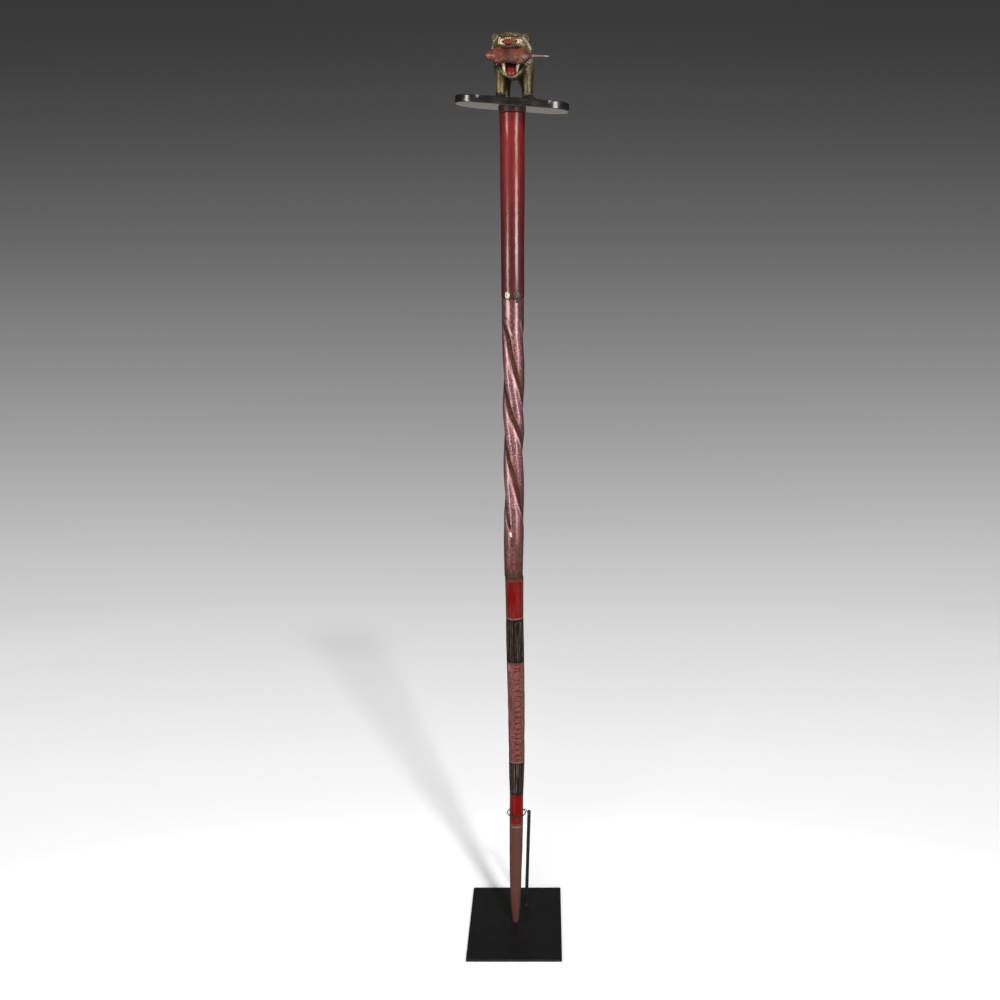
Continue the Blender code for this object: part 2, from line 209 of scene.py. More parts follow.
def ovoid(centre, radii, turn=(0, 0, 0), rows=26, columns=40):
    # Latitude and longitude on a ball, stretched to three radii, turned, and moved to its centre.
    latitude = np.linspace(-pi / 2, pi / 2, rows + 2)[1:-1, None]
    longitude = allRound(columns)
    flat = np.cos(latitude)
    ball = asPoints(flat * np.cos(longitude), flat * np.sin(longitude), np.sin(latitude))
    points, faces = closedTube(ball * np.array(radii))
    return points @ turnMatrix(turn).T + np.array(centre), faces


def smoothPath(stations, steps):
    # Catmull-Rom curve through rows of numbers, such as x, y, z and radius.
    knots = np.array(stations, dtype=float)
    knots = np.vstack([2 * knots[0] - knots[1], knots, 2 * knots[-1] - knots[-2]])
    span = np.linspace(0, len(stations) - 1, steps)
    start = np.minimum(span.astype(int), len(stations) - 2)
    t = (span - start)[:, None]
    a, b, c, d = (knots[start + k] for k in range(4))
    curved = 2 * b + (c - a) * t + (2 * a - 5 * b + 4 * c - d) * t ** 2 + (3 * b - a - 3 * c + d) * t ** 3
    return 0.5 * curved


def carriedRing(stations, steps, columns):
    # A round section carried along a smooth path of x, y, z, radius, with rounded ends.
    path = smoothPath(stations, steps)
    centre, radius = path[:, :3], np.maximum(path[:, 3], 1e-4)
    along = np.gradient(centre, axis=0)
    along /= np.linalg.norm(along, axis=1, keepdims=True)
    side = np.cross(along, np.where(np.abs(along[:, 1:2]) < 0.8, (0.0, 1.0, 0.0), (1.0, 0.0, 0.0)))
    side /= np.linalg.norm(side, axis=1, keepdims=True)
    up = np.cross(side, along)
    angle = allRound(columns)[None, :, None]
    circle = np.cos(angle) * side[:, None] + np.sin(angle) * up[:, None]
    lift = np.sin(np.linspace(0, pi / 2, 6))[1:-1, None, None]
    shrink = np.sqrt(1 - lift ** 2)
    caps = [centre[end] + radius[end] * (shrink * circle[end] + sign * lift * along[end])
            for end, sign in ((0, -1), (-1, 1))]
    grid = np.concatenate([caps[0][::-1], centre[:, None] + radius[:, None, None] * circle, caps[1]])
    return closedTube(grid[:, ::-1])


def joinShapes(shapes):
    # Several point and face lists as one, with the face numbers moved on.
    points, faces, count = [], [], 0
    for shapePoints, shapeFaces in shapes:
        points.append(shapePoints)
        faces += [[index + count for index in face] for face in shapeFaces]
        count += len(shapePoints)
    return np.vstack(points), faces


# Materials

class Signal:
    # What a node puts out. A formula with it, or a call of most or ramp, adds further nodes to its tree.
    def __init__(self, socket):
        self.socket = socket

    def __add__(self, other):
        return doMath("ADD", self, other)

    def __sub__(self, other):
        return doMath("SUBTRACT", self, other)

    def __rsub__(self, other):
        return doMath("SUBTRACT", other, self)

    def __mul__(self, other):
        return doMath("MULTIPLY", self, other)

    def __truediv__(self, other):
        return doMath("DIVIDE", self, other)

    def most(self, other):
        return doMath("MAXIMUM", self, other)

    def ramp(self, low, high, newLow=0.0, newHigh=1.0):
        # Carries low and high to their new values with an S curve between them, and stays level beyond them.
        inputs = {0: self, 1: low, 2: high, 3: newLow, 4: newHigh}
        return addNode("MapRange", inputs, interpolation_type="SMOOTHSTEP")[0]


def addNode(kind, inputs, tree=None, **settings):
    # A node with its settings and its inputs, each a plain value or a signal. Returns what it puts out.
    tree = tree or next(value.socket.id_data for value in inputs.values() if isinstance(value, Signal))
    made = tree.nodes.new("ShaderNode" + kind)
    for key, value in settings.items():
        setattr(made, key, value)
    for key, value in inputs.items():
        if isinstance(value, Signal):
            tree.links.new(value.socket, made.inputs[key])
        else:
            made.inputs[key].default_value = value
    return [Signal(socket) for socket in made.outputs]


def doMath(operation, *values):
    return addNode("Math", dict(enumerate(values)), operation=operation)[0]


def drawnNoise(vector, scales, detail, roughness):
    # Noise on coordinates multiplied by three scales.
    place = addNode("VectorMath", {0: vector, 1: scales}, operation="MULTIPLY")[0]
    inputs = {"Vector": place, "Scale": 1.0, "Detail": detail, "Roughness": roughness}
    return addNode("TexNoise", inputs)[0]


def brushMarks(vector, scale, stretch, detail):
    # Noise drawn out along Z, as a brush or a grain leaves it.
    scales = addNode("CombineXYZ", {0: scale, 1: scale, 2: scale / stretch})[0]
    return [drawnNoise(vector, scales, detail, 0.6)]


def raggedEdge(field, vector, scale, wander, level, softness):
    # Cuts a soft field into a mask whose edge wanders with noise.
    inputs = {"Vector": vector, "Scale": scale, "Detail": 5.0, "Roughness": 0.65}
    noise = addNode("TexNoise", inputs)[0]
    return [(field + (noise - 0.5) * wander).ramp(level - softness, level + softness)]


def specks(vector, scale, size, share):
    # Scattered round dots: the middles of Voronoi cells, kept or dropped by each cell's random number.
    cells = addNode("TexVoronoi", {"Vector": vector, "Scale": scale})
    number = addNode("SeparateColor", {0: cells[1]})[0]
    return [cells[0].ramp(size, 0.0) * doMath("LESS_THAN", number, share)]


def woodGrain(vector, scale, stretch, contrast):
    # Long thin wood fibres: two drawn-out noises of different widths, their dark pores sharpened.
    wide = useGroup("brushMarks", vector, scale * 0.35, stretch, 3.0)[0]
    fine = useGroup("brushMarks", vector, scale, stretch, 5.0)[0]
    centred = (wide * 0.5 + fine * 0.5 - 0.5) * contrast
    return [centred * 4.0 + 0.5, fine.ramp(0.4, 0.33)]


def makeGroup(build, outputs, inputs):
    # A node group named after the function that builds it from its inputs: numbers, or None for a vector.
    tree = bpy.data.node_groups.new(build.__name__, "ShaderNodeTree")
    for title, value in inputs.items():
        kind = "NodeSocketVector" if value is None else "NodeSocketFloat"
        socket = tree.interface.new_socket(title, in_out="INPUT", socket_type=kind)
        if value is not None:
            socket.default_value = value
    for title in outputs:
        tree.interface.new_socket(title, in_out="OUTPUT", socket_type="NodeSocketFloat")
    given = tree.nodes.new("NodeGroupInput").outputs
    results = build(*(Signal(given[title]) for title in inputs))
    ends = tree.nodes.new("NodeGroupOutput").inputs
    for title, result in zip(outputs, results):
        tree.links.new(result.socket, ends[title])
    groups[build.__name__] = tree


def useGroup(name, *values):
    # The group's inputs take the values in their order.
    return addNode("Group", dict(enumerate(values)), node_tree=groups[name])


groups = {}
makeGroup(brushMarks, ["Value"], {"Vector": None, "Scale": 200.0, "Stretch": 8.0, "Detail": 4.0})
makeGroup(raggedEdge, ["Mask"], {"Field": 0.0, "Vector": None, "Scale": 600.0, "Wander": 0.4, "Level": 0.5,
                                 "Softness": 0.06})
makeGroup(specks, ["Mask"], {"Vector": None, "Scale": 400.0, "Size": 0.25, "Share": 0.4})
makeGroup(woodGrain, ["Value", "Pores"], {"Vector": None, "Scale": 900.0, "Stretch": 30.0, "Contrast": 0.5})


class Paint:
    # A material in the making: its shader, Object coordinates, named tones and the colour laid so far.
    def __init__(self, name, tones, constants):
        self.material = bpy.data.materials.new(name)
        self.material.use_nodes = True
        self.tree = self.material.node_tree
        self.shader = self.tree.nodes["Principled BSDF"]
        for key, value in constants.items():
            self.shader.inputs[key].default_value = value
        self.place = addNode("TexCoord", {}, self.tree)[3]
        self.tones = tones

    def mask(self, name):
        return addNode("Attribute", {}, self.tree, attribute_name=name)[2]

    def axis(self, number):
        return addNode("SeparateXYZ", {0: self.place})[number]

    def noise(self, scale, detail, distortion=0.0):
        # Even noise from 0 to 1 in space.
        inputs = {"Vector": self.place, "Scale": scale, "Detail": detail, "Distortion": distortion}
        return addNode("TexNoise", inputs)[0]

    def brush(self, scale, stretch, detail=4.0):
        return useGroup("brushMarks", self.place, scale, stretch, detail)[0]

    def grain(self, scale, stretch, contrast):
        return useGroup("woodGrain", self.place, scale, stretch, contrast)

    def ragged(self, field, scale, wander, level=0.5, softness=0.06):
        # The field is a signal or the name of a mask.
        field = self.mask(field) if isinstance(field, str) else field
        return useGroup("raggedEdge", field, self.place, scale, wander, level, softness)[0]

    def specks(self, scale, size, share):
        return useGroup("specks", self.place, scale, size, share)[0]

    def blend(self, share, *tones):
        # Two colours mixed by a share of the second; each is a signal or the name of a tone.
        first, second = (tone if isinstance(tone, Signal) else (*self.tones[tone], 1.0) for tone in tones)
        return addNode("Mix", {0: share, 6: first, 7: second}, self.tree, data_type="RGBA")[2]

    def start(self, share, first, second):
        self.colour = self.blend(share, first, second)

    def over(self, share, tone):
        self.colour = self.blend(share, self.colour, tone)

    def link(self, name, signal):
        self.tree.links.new(signal.socket, self.shader.inputs[name])

    def finish(self, roughness, height, strength, distance, coat=None):
        # Links colour, roughness, coat and the relief of a height.
        self.link("Base Color", self.colour)
        self.link("Roughness", roughness)
        if coat:
            self.link("Coat Weight", coat)
        relief = {"Strength": strength, "Distance": distance, "Height": height}
        self.link("Normal", addNode("Bump", relief)[0])
        return self.material


# The shaft: heights above the plate, the radius at each, and how far the axis bows sideways

shaft = {
    "lowerJoint": 0.6739, "upperJoint": 1.1438, "top": 1.4288, "gap": 0.0003,
    "radii": ((0.0, 0.0046), (0.002, 0.0056), (0.0075, 0.0063), (0.0255, 0.0078), (0.0375, 0.0087),
              (0.068, 0.01), (0.116, 0.0112), (0.15, 0.012), (0.197, 0.0123), (0.265, 0.0124),
              (0.297, 0.0134), (0.33, 0.014), (0.444, 0.0149), (0.515, 0.0153), (0.557, 0.0155),
              (0.6, 0.0151), (0.6739, 0.0157), (0.685, 0.0159), (0.738, 0.017), (0.894, 0.0172),
              (0.945, 0.018), (1.077, 0.0181), (1.1438, 0.0184), (1.154, 0.0187), (1.211, 0.0189),
              (1.322, 0.0194), (1.395, 0.0193), (1.4288, 0.0206)),
    "bow": ((0.0, 0.0), (0.1, 0.0005), (0.2, 0.0024), (0.33, 0.0041), (0.44, 0.004),
            (0.56, 0.0025), (0.6737, 0.0019), (0.6741, 0.0009), (0.8, 0.0021), (0.95, 0.0029),
            (1.1438, 0.0028), (1.3, 0.0034), (1.43, 0.004)),
}


def shaftGrid(heights, columns):
    # Bearings round the shaft, counted from +X, as a row; heights and their radii as columns.
    bearing = np.linspace(-pi, pi, columns, endpoint=False)[None, :]
    height = np.asarray(heights)[:, None]
    return bearing, height, follow(shaft["radii"], height)


def shaftTube(name, bearing, height, radius):
    # Polar to straight coordinates about the bowed axis, closed and made a mesh.
    x = follow(shaft["bow"], height) + radius * np.cos(bearing)
    return makeTube(name, x, radius * np.sin(bearing), plateTop + height)


def glossAlong(bearing, height, s):
    # Share of gloss by height: one run of stations left of the front, one right of it, even round the back.
    side = wrapAngle(bearing + pi / 2)
    low = follow(s["leftGloss"], height)
    high = follow(s["rightGloss"], height)
    share = low + (high - low) * ramp(-0.25, 0.0, side)
    return share + (0.8 - share) * ramp(1.0, 1.6, np.abs(side))


def addWaves(radius, bearing, height, waves, share=1):
    # Unevenness by hand: each row is a size, a seed, and the most waves round and per metre.
    for size, seed, turns, perMetre in waves:
        radius = radius + size * share * ripple(bearing, height, seed, turns, perMetre)
    return radius


def roundEnds(height, low, high, reach=0.0012, cut=0.0006):
    # How far the radius draws in at the arris of each end.
    near = np.minimum(height - low, high - height)
    return cut * (1 - np.sqrt(1 - (1 - np.clip(near / reach, 0, 1)) ** 2))


def endRows(low, high, step, reach=0.0012):
    # Rows spaced by step, with closer ones at both ends.
    rows = np.linspace(low, high, max(2, round((high - low) / step)))
    close = np.array([0.15, 0.4, 0.75]) * reach
    return np.unique(np.concatenate([rows, low + close, high - close]))


def patch(bearing, height, centre, size, power=2):
    # A soft field: 1 in the middle, 0.5 on an oval of a half width in degrees and a half height.
    across = np.abs(wrapAngle(bearing - math.radians(centre[0])) / math.radians(size[0]))
    up = np.abs((height - centre[1]) / size[1])
    return soft((across ** power + up ** power) ** (2 / power))


upperShaft = {
    "columns": 150, "step": 0.0011, "waves": ((0.00022, 3, 3, 7), (0.00007, 4, 9, 70)),
    "chips": (((-118, 1.15), (13, 0.0056), 1.0), ((20, 1.1475), (16, 0.003), 0.8),
              ((75, 1.151), (14, 0.004), 0.9), ((140, 1.1475), (18, 0.003), 0.8)),
    "chipDepth": 0.00045, "swirl": ((-66, 1.15), (18, 0.007)),
    "red": (0.205, 0.0105, 0.011), "maroon": (0.085, 0.0085, 0.0085), "primer": (0.62, 0.56, 0.46),
    "greyGreen": (0.2, 0.23, 0.17), "mould": (0.036, 0.033, 0.021), "grime": (0.03, 0.013, 0.01),
    "leftGloss": ((1.422, 0.5), (1.406, 0.85), (1.388, 0.12), (1.33, 0.06), (1.29, 0.28), (1.24, 0.65),
                  (1.205, 1.15), (1.175, 0.86), (1.15, 0.75)),
    "rightGloss": ((1.422, 0.5), (1.406, 0.92), (1.344, 0.36), (1.328, 0.78), (1.29, 0.98), (1.267, 1.27),
                   (1.221, 1.5), (1.19, 1.0), (1.16, 0.34)),
}


def makeUpperShaft(s):
    # Radius by height, plus slow waves of a hand-shaped pole; chips sink a little at the joint.
    low, high = shaft["upperJoint"] + shaft["gap"], shaft["top"]
    bearing, height, radius = shaftGrid(endRows(low, high, s["step"]), s["columns"])
    radius = addWaves(radius, bearing, height, s["waves"])
    chip = sum(weight * patch(bearing, height, centre, size) for centre, size, weight in s["chips"])
    radius = radius - s["chipDepth"] * ramp(0.35, 0.65, chip) - roundEnds(height, low, high)
    piece = shaftTube("upperShaft", bearing, height, radius)
    giveMasks(piece, chip=chip, share=(height - low) / (high - low), gloss=glossAlong(bearing, height, s),
              swirl=patch(bearing, height, *s["swirl"]))
    return piece


def paintUpperShaft(s):
    # Deep red gloss over a pale primer, browner and darker towards the joint.
    p = Paint("deepRedGloss", s, {"IOR": 1.5, "Coat Roughness": 0.16, "Specular IOR Level": 0.18})
    share = p.mask("share")
    gloss = p.mask("gloss")
    brush = p.brush(260, 9)
    fade = share + (p.brush(45, 5, 3) - 0.5) * 0.6
    p.start(fade.ramp(0.1, 0.95), "maroon", "red")
    p.over(brush.ramp(0.62, 0.3, 0, 0.35), "grime")
    p.over(share.ramp(0.1, 0, 0, 0.55) * brush.ramp(0.7, 0.3), "grime")
    chips = p.ragged("chip", 420, 0.9)
    p.over(chips, p.blend(p.brush(300, 1).ramp(0.42, 0.56), "greyGreen", "primer"))
    swirl = p.ragged("swirl", 520, 0.8)
    p.over(swirl, p.blend(p.noise(560, 2, distortion=1.5).ramp(0.57, 0.66), "mould", "primer"))
    p.over(p.specks(150, 0.16, 0.1) * 0.5, "grime")
    roughness = brush.ramp(0.3, 0.7, 0.34, 0.54) + chips * 0.2 + swirl * 0.25
    roughness = roughness + gloss.ramp(0.85, 0.15, 0, 0.12)
    coat = swirl.ramp(0, 0.8, 0.8, 0.05) * gloss
    return p.finish(roughness, brush * 0.6 - chips * 0.8, 0.35, 0.0003, coat)


dress(makeUpperShaft(upperShaft), paintUpperShaft(upperShaft), "upper_red", "upper_shaft")


spiralShaft = {
    "columns": 176, "step": 0.0012, "waves": ((0.00025, 11, 3, 9), (0.00006, 12, 12, 90)),
    "top": 1.116, "bottom": 0.75, "fade": 0.022,
    "grooves": (((1.112, -160), (1.097, -146), (1.081, -122), (1.062, -110), (1.025, -78), (0.996, -38),
                 (0.98, -22), (0.785, 219), (0.752, 262)),
                ((1.112, -26), (1.085, 0), (1.06, 26), (0.896, 210), (0.866, 252), (0.833, 286),
                 (0.783, 342), (0.752, 380)),
                ((1.112, 75), (0.995, 203), (0.985, 221), (0.97, 238), (0.948, 264), (0.93, 296),
                 (0.91, 336), (0.752, 534))),
    "width": 0.0108, "depth": 0.004, "swell": 0.0021, "chipDepth": 0.0003, "stagger": 0.004,
    "narrow": (0.765, 0.82), "narrowTo": 0.62, "wander": (0.1, 2, 25), "steepSide": 0.8, "gentleSide": 1.15,
    "roundness": 2.2, "lip": 0.0003, "lipPlace": -1.45, "lipWidth": 0.42,
    "highlightLinePlace": 2.0, "highlightLineWidth": 0.36, "highlightLineLow": (1.08, 1.088), "highlightLineHigh": (1.108, 1.113),
    "leftGloss": ((1.127, 0.85), (1.11, 0.7), (1.077, 0.7), (1.045, 1.0), (1.005, 1.0), (0.967, 0.6),
                  (0.93, 0.95), (0.892, 0.55), (0.859, 1.0), (0.808, 0.95), (0.741, 0.72)),
    "rightGloss": ((1.127, 0.96), (1.085, 1.1), (1.06, 0.67), (1.026, 0.57), (1.01, 1.05), (0.959, 0.75),
                   (0.942, 0.42), (0.926, 1.05), (0.905, 0.65), (0.875, 0.28), (0.842, 0.13), (0.815, 0.38),
                   (0.791, 0.8), (0.758, 0.43), (0.741, 0.36), (0.715, 0.8)),
    "flake": ((-115, 1.1265), (11.5, 0.0135)), "mouldSpot": ((-60, 1.1412), (13, 0.0036)),
    "endChip": ((-107, 0.7522), (8.5, 0.0048)),
    "pink": (0.275, 0.075, 0.084), "mauve": (0.12, 0.037, 0.045), "brown": (0.07, 0.027, 0.018),
    "fibre": (0.09, 0.018, 0.016), "grooveBrown": (0.04, 0.017, 0.01), "grooveRed": (0.092, 0.026, 0.018),
    "gold": (0.2, 0.155, 0.06), "paintedHighlight": (0.8, 0.45, 0.48), "sole": (0.04, 0.019, 0.012),
    "shade": (0.056, 0.021, 0.026), "mould": (0.045, 0.043, 0.03), "pale": (0.44, 0.27, 0.25),
    "light": (0.46, 0.185, 0.2), "oliveBrown": (0.04, 0.023, 0.014), "clay": (0.235, 0.092, 0.086),
    "cream": (0.72, 0.62, 0.5),
}


def groovePath(groove, height):
    # Bearing of a groove at each height, smooth through its stations.
    knots = np.array(sorted(groove))
    rows = np.linspace(knots[0, 0] - 0.04, knots[-1, 0] + 0.04, 400)
    line = np.interp(rows, knots[:, 0], knots[:, 1])
    window = np.hanning(25)
    soft = np.convolve(np.pad(line, 12, mode="edge"), window / window.sum(), mode="valid")
    return np.radians(np.interp(height, rows, soft))


def makeSpiralShaft(s):
    # Each groove is a rounded valley with one steep side; between grooves the wood swells.
    low, high = shaft["lowerJoint"] + shaft["gap"], shaft["upperJoint"] - shaft["gap"]
    bearing, height, radius = shaftGrid(endRows(low, high, s["step"]), s["columns"])
    inside = np.minimum(s["top"] - height, height - s["bottom"])
    valley = np.zeros(np.broadcast(bearing, height).shape)
    lip = np.zeros_like(valley)
    swell = np.full_like(valley, np.inf)
    for number, groove in enumerate(s["grooves"]):
        fade = ramp(0, s["fade"], inside + s["stagger"] * number - s["stagger"])
        across = wrapAngle(bearing - groovePath(groove, height)) * radius / (s["width"] / 2)
        across = across / (s["narrowTo"] + (1 - s["narrowTo"]) * ramp(*s["narrow"], height))
        wander, turns, perMetre = s["wander"]
        across = across + wander * ripple(bearing, height, 20 + number, turns, perMetre)
        steep = np.abs(across) / np.where(across < 0, s["steepSide"], s["gentleSide"])
        valley = np.maximum(valley, fade * np.clip(1 - steep ** s["roundness"], 0, 1))
        lip = np.maximum(lip, fade * bump(across, s["lipPlace"], s["lipWidth"]))
        # A painted highlight line runs along the right side of the first groove near its top; it goes into
        # the flake mask.
        if number == 0:
            highlightLine = bump(across, s["highlightLinePlace"], s["highlightLineWidth"])
            highlightLine = highlightLine * ramp(*s["highlightLineLow"], height) * (1 - ramp(*s["highlightLineHigh"], height))
        swell = np.minimum(swell, np.abs(across))
    crown = s["swell"] * (1 - ramp(0.6, 3.2, swell)) * ramp(0, 0.05, inside) * (1 - valley)
    chip = patch(bearing, height, *s["endChip"])
    radius = radius - (s["depth"] * valley + crown - s["lip"] * lip)
    radius = radius - s["chipDepth"] * ramp(0.4, 0.7, chip) - roundEnds(height, low, high)
    radius = addWaves(radius, bearing, height, s["waves"])
    piece = shaftTube("spiralShaft", bearing, height, radius)
    side = wrapAngle(bearing + pi / 2)
    giveMasks(piece, valley=valley, lip=lip, chip=chip, gloss=glossAlong(bearing, height, s),
              crest=0.5 * ramp(1.2, 2.4, swell) * ramp(0.01, 0.07, inside),
              dullSide=ramp(0.48, 0.72, side) * (1 - ramp(1.5, 2.1, side)),
              blush=bump(side, 0.3, 0.3) * bump(height, 1.066, 0.022),
              flake=np.maximum(patch(bearing, height, *s["flake"], power=4), 0.85 * highlightLine),
              mould=patch(bearing, height, *s["mouldSpot"]),
              flank=ramp(0.6, 1.3, np.abs(wrapAngle(bearing + pi / 2 + 0.05))),
              share=(height - low) / (high - low))
    return piece


def paintSpiralShaft(s):
    # Pink varnish over streaky wood, brown down the grooves, duller and browner at the foot.
    p = Paint("pinkVarnish", s, {"IOR": 1.5, "Coat Roughness": 0.24, "Coat IOR": 1.58,
                                 "Specular IOR Level": 0.1})
    share = p.mask("share")
    valley = p.mask("valley")
    grain, pores = p.grain(700, 14, 0.8)
    broad = p.brush(90, 6, 3)
    p.start(broad.ramp(0.35, 0.65), "mauve", "pink")
    p.over(grain.ramp(0.72, 0.25, 0, 0.75), "fibre")
    p.over(pores * 0.6, "brown")
    low = p.ragged(share.ramp(0.36, 0), 90, 1.1, 0.75, 0.55)
    p.over(low * 0.75, "brown")
    patched = p.blend(broad.ramp(0.38, 0.5), "fibre", "clay")
    p.over(p.brush(240, 2.2, 3).ramp(0.47, 0.54, 0, 0.95) * low, patched)
    speck = p.noise(620, 3)
    mottle = p.noise(330, 3)
    p.over(mottle.ramp(0.52, 0.66, 0, 0.4) * share.ramp(0.06, 0.24), "light")
    p.over(p.mask("blush") * mottle.ramp(0.4, 0.6, 0.35, 0.85), "light")
    p.over(mottle.ramp(0.48, 0.36, 0, 0.85), "fibre")
    p.over(p.noise(200, 4).ramp(0.5, 0.6) * share.ramp(0.4, 0.1, 0, 0.5), "oliveBrown")
    # Painted highlights: pale pink specks on the strand crests and along the lips of the grooves.
    crest = p.mask("crest") * speck.ramp(0.5, 0.66)
    paintedHighlight = (p.mask("lip") * speck.ramp(0.38, 0.6, 0.15, 0.95)).most(crest)
    p.over(paintedHighlight * share.ramp(0.02, 0.22, 0.1, 1), "paintedHighlight")
    p.over(p.mask("flank") * 0.85, "shade")
    groove = p.ragged(valley, 260, 0.45, 0.22, 0.24)
    p.over(groove, p.blend(p.noise(150, 3).ramp(0.44, 0.58), "grooveBrown", "grooveRed"))
    p.over(p.ragged(valley * 0.55, 260, 2.2, 0.68, 0.22) * 0.15, "gold")
    # The flake mask also holds the painted highlight line beside the first groove.
    p.over(p.ragged("flake", 360, 1.5, 0.46, 0.16) * 0.85, "pale")
    p.over(p.ragged("chip", 420, 1.6, softness=0.14), "cream")
    mould = p.ragged("mould", 300, 1.3, 0.42, 0.3)
    p.over(mould * 0.85, "mould")
    p.over(p.ragged(share.ramp(0.046, 0), 380, 0.9, 0.45, 0.2) * 0.8, "sole")
    nicks = p.specks(340, 0.34, 0.34)
    p.over(nicks * 0.65, "fibre")
    dull = (low * 0.9).most(groove.most(mould))
    coat = dull.most(p.mask("dullSide") * 0.45).ramp(0.7, 0, 0, 1) * p.mask("gloss")
    height = grain * 0.7 - nicks * 0.5 + (speck + mottle) * 0.9
    return p.finish(grain.ramp(0.2, 0.8, 0.46, 0.34) + dull * 0.25, height, 0.75, 0.0005, coat)


dress(makeSpiralShaft(spiralShaft), paintSpiralShaft(spiralShaft), "spiral_mauve", "spiral_shaft")


lowerShaft = {
    "columns": 144, "fineStep": 0.0008, "coarseStep": 0.0026, "bands": ((0.2648, 0.3285), (0.5195, 0.5992)),
    "slowWaves": ((0.00018, 31, 3, 9),), "fineWaves": ((0.00005, 32, 12, 110),),
    "knobs": ((0.0003, 33, 3, 32),),
    "cuts": 24, "cutDepth": 0.001, "cutWidth": 0.0009, "cutRadius": 0.015, "nickDepth": 0.0007,
    "redBands": ((0.208, 0.2648), (0.602, 0.668)), "paleLine": 0.2013, "ringRub": 0.2238,
    "notches": 18, "notchTop": 0.512, "notchBottom": 0.337, "notchBearing": -78,
    "notchWidth": 0.0125, "notchHeight": 0.003, "notchDepth": 0.0009, "notchWeights": (0.4, 0.9),
    "notchSlant": 0.12, "notchJitter": 0.0012, "notchLift": -0.0024, "topNotches": (0.5094, 0.5038),
    "topWeight": 1.6,
    "orange": ((-139, 0.5095), (13, 0.007)), "stroke": ((-124, 0.442), (4.0, 0.014)),
    "nick": ((-76, 0.3455), (8, 0.0028)), "footSpot": ((-97, 0.033), (14, 0.007)),
    "pink": (0.172, 0.067, 0.056), "dullPink": (0.076, 0.037, 0.027), "brown": (0.062, 0.026, 0.018),
    "red": (0.148, 0.0028, 0.0028), "redEdge": (0.145, 0.044, 0.037), "black": (0.0075, 0.005, 0.004),
    "greyBlack": (0.03, 0.021, 0.018), "beige": (0.27, 0.205, 0.15), "umber": (0.06, 0.034, 0.024),
    "orangePaint": (0.32, 0.15, 0.125), "mauve": (0.172, 0.054, 0.067), "tan": (0.15, 0.077, 0.055),
    "mark": (0.13, 0.014, 0.012), "rungBrown": (0.06, 0.011, 0.008), "ruddy": (0.235, 0.05, 0.042),
}


def cutLines(bearing, height, low, high, s, seed):
    # Upright knife cuts round a band: each a narrow valley with its own slant, width and ends.
    rng = np.random.default_rng(seed)
    total = np.zeros(np.broadcast(bearing, height).shape)
    for k in range(s["cuts"]):
        middle = 2 * pi * (k + rng.uniform(-0.2, 0.2)) / s["cuts"]
        middle = middle + rng.uniform(-0.06, 0.06) * (height - low) / (high - low)
        width = s["cutWidth"] * rng.uniform(0.7, 1.3)
        across = np.abs(wrapAngle(bearing - middle)) * s["cutRadius"] / width
        top = high - rng.uniform(-0.001, 0.004)
        foot = low + rng.uniform(-0.001, 0.004)
        ends = ramp(0, 0.004, np.minimum(top - height, height - foot))
        total = np.maximum(total, rng.uniform(0.55, 1.0) * ends * np.clip(1 - across, 0, 1))
    return total


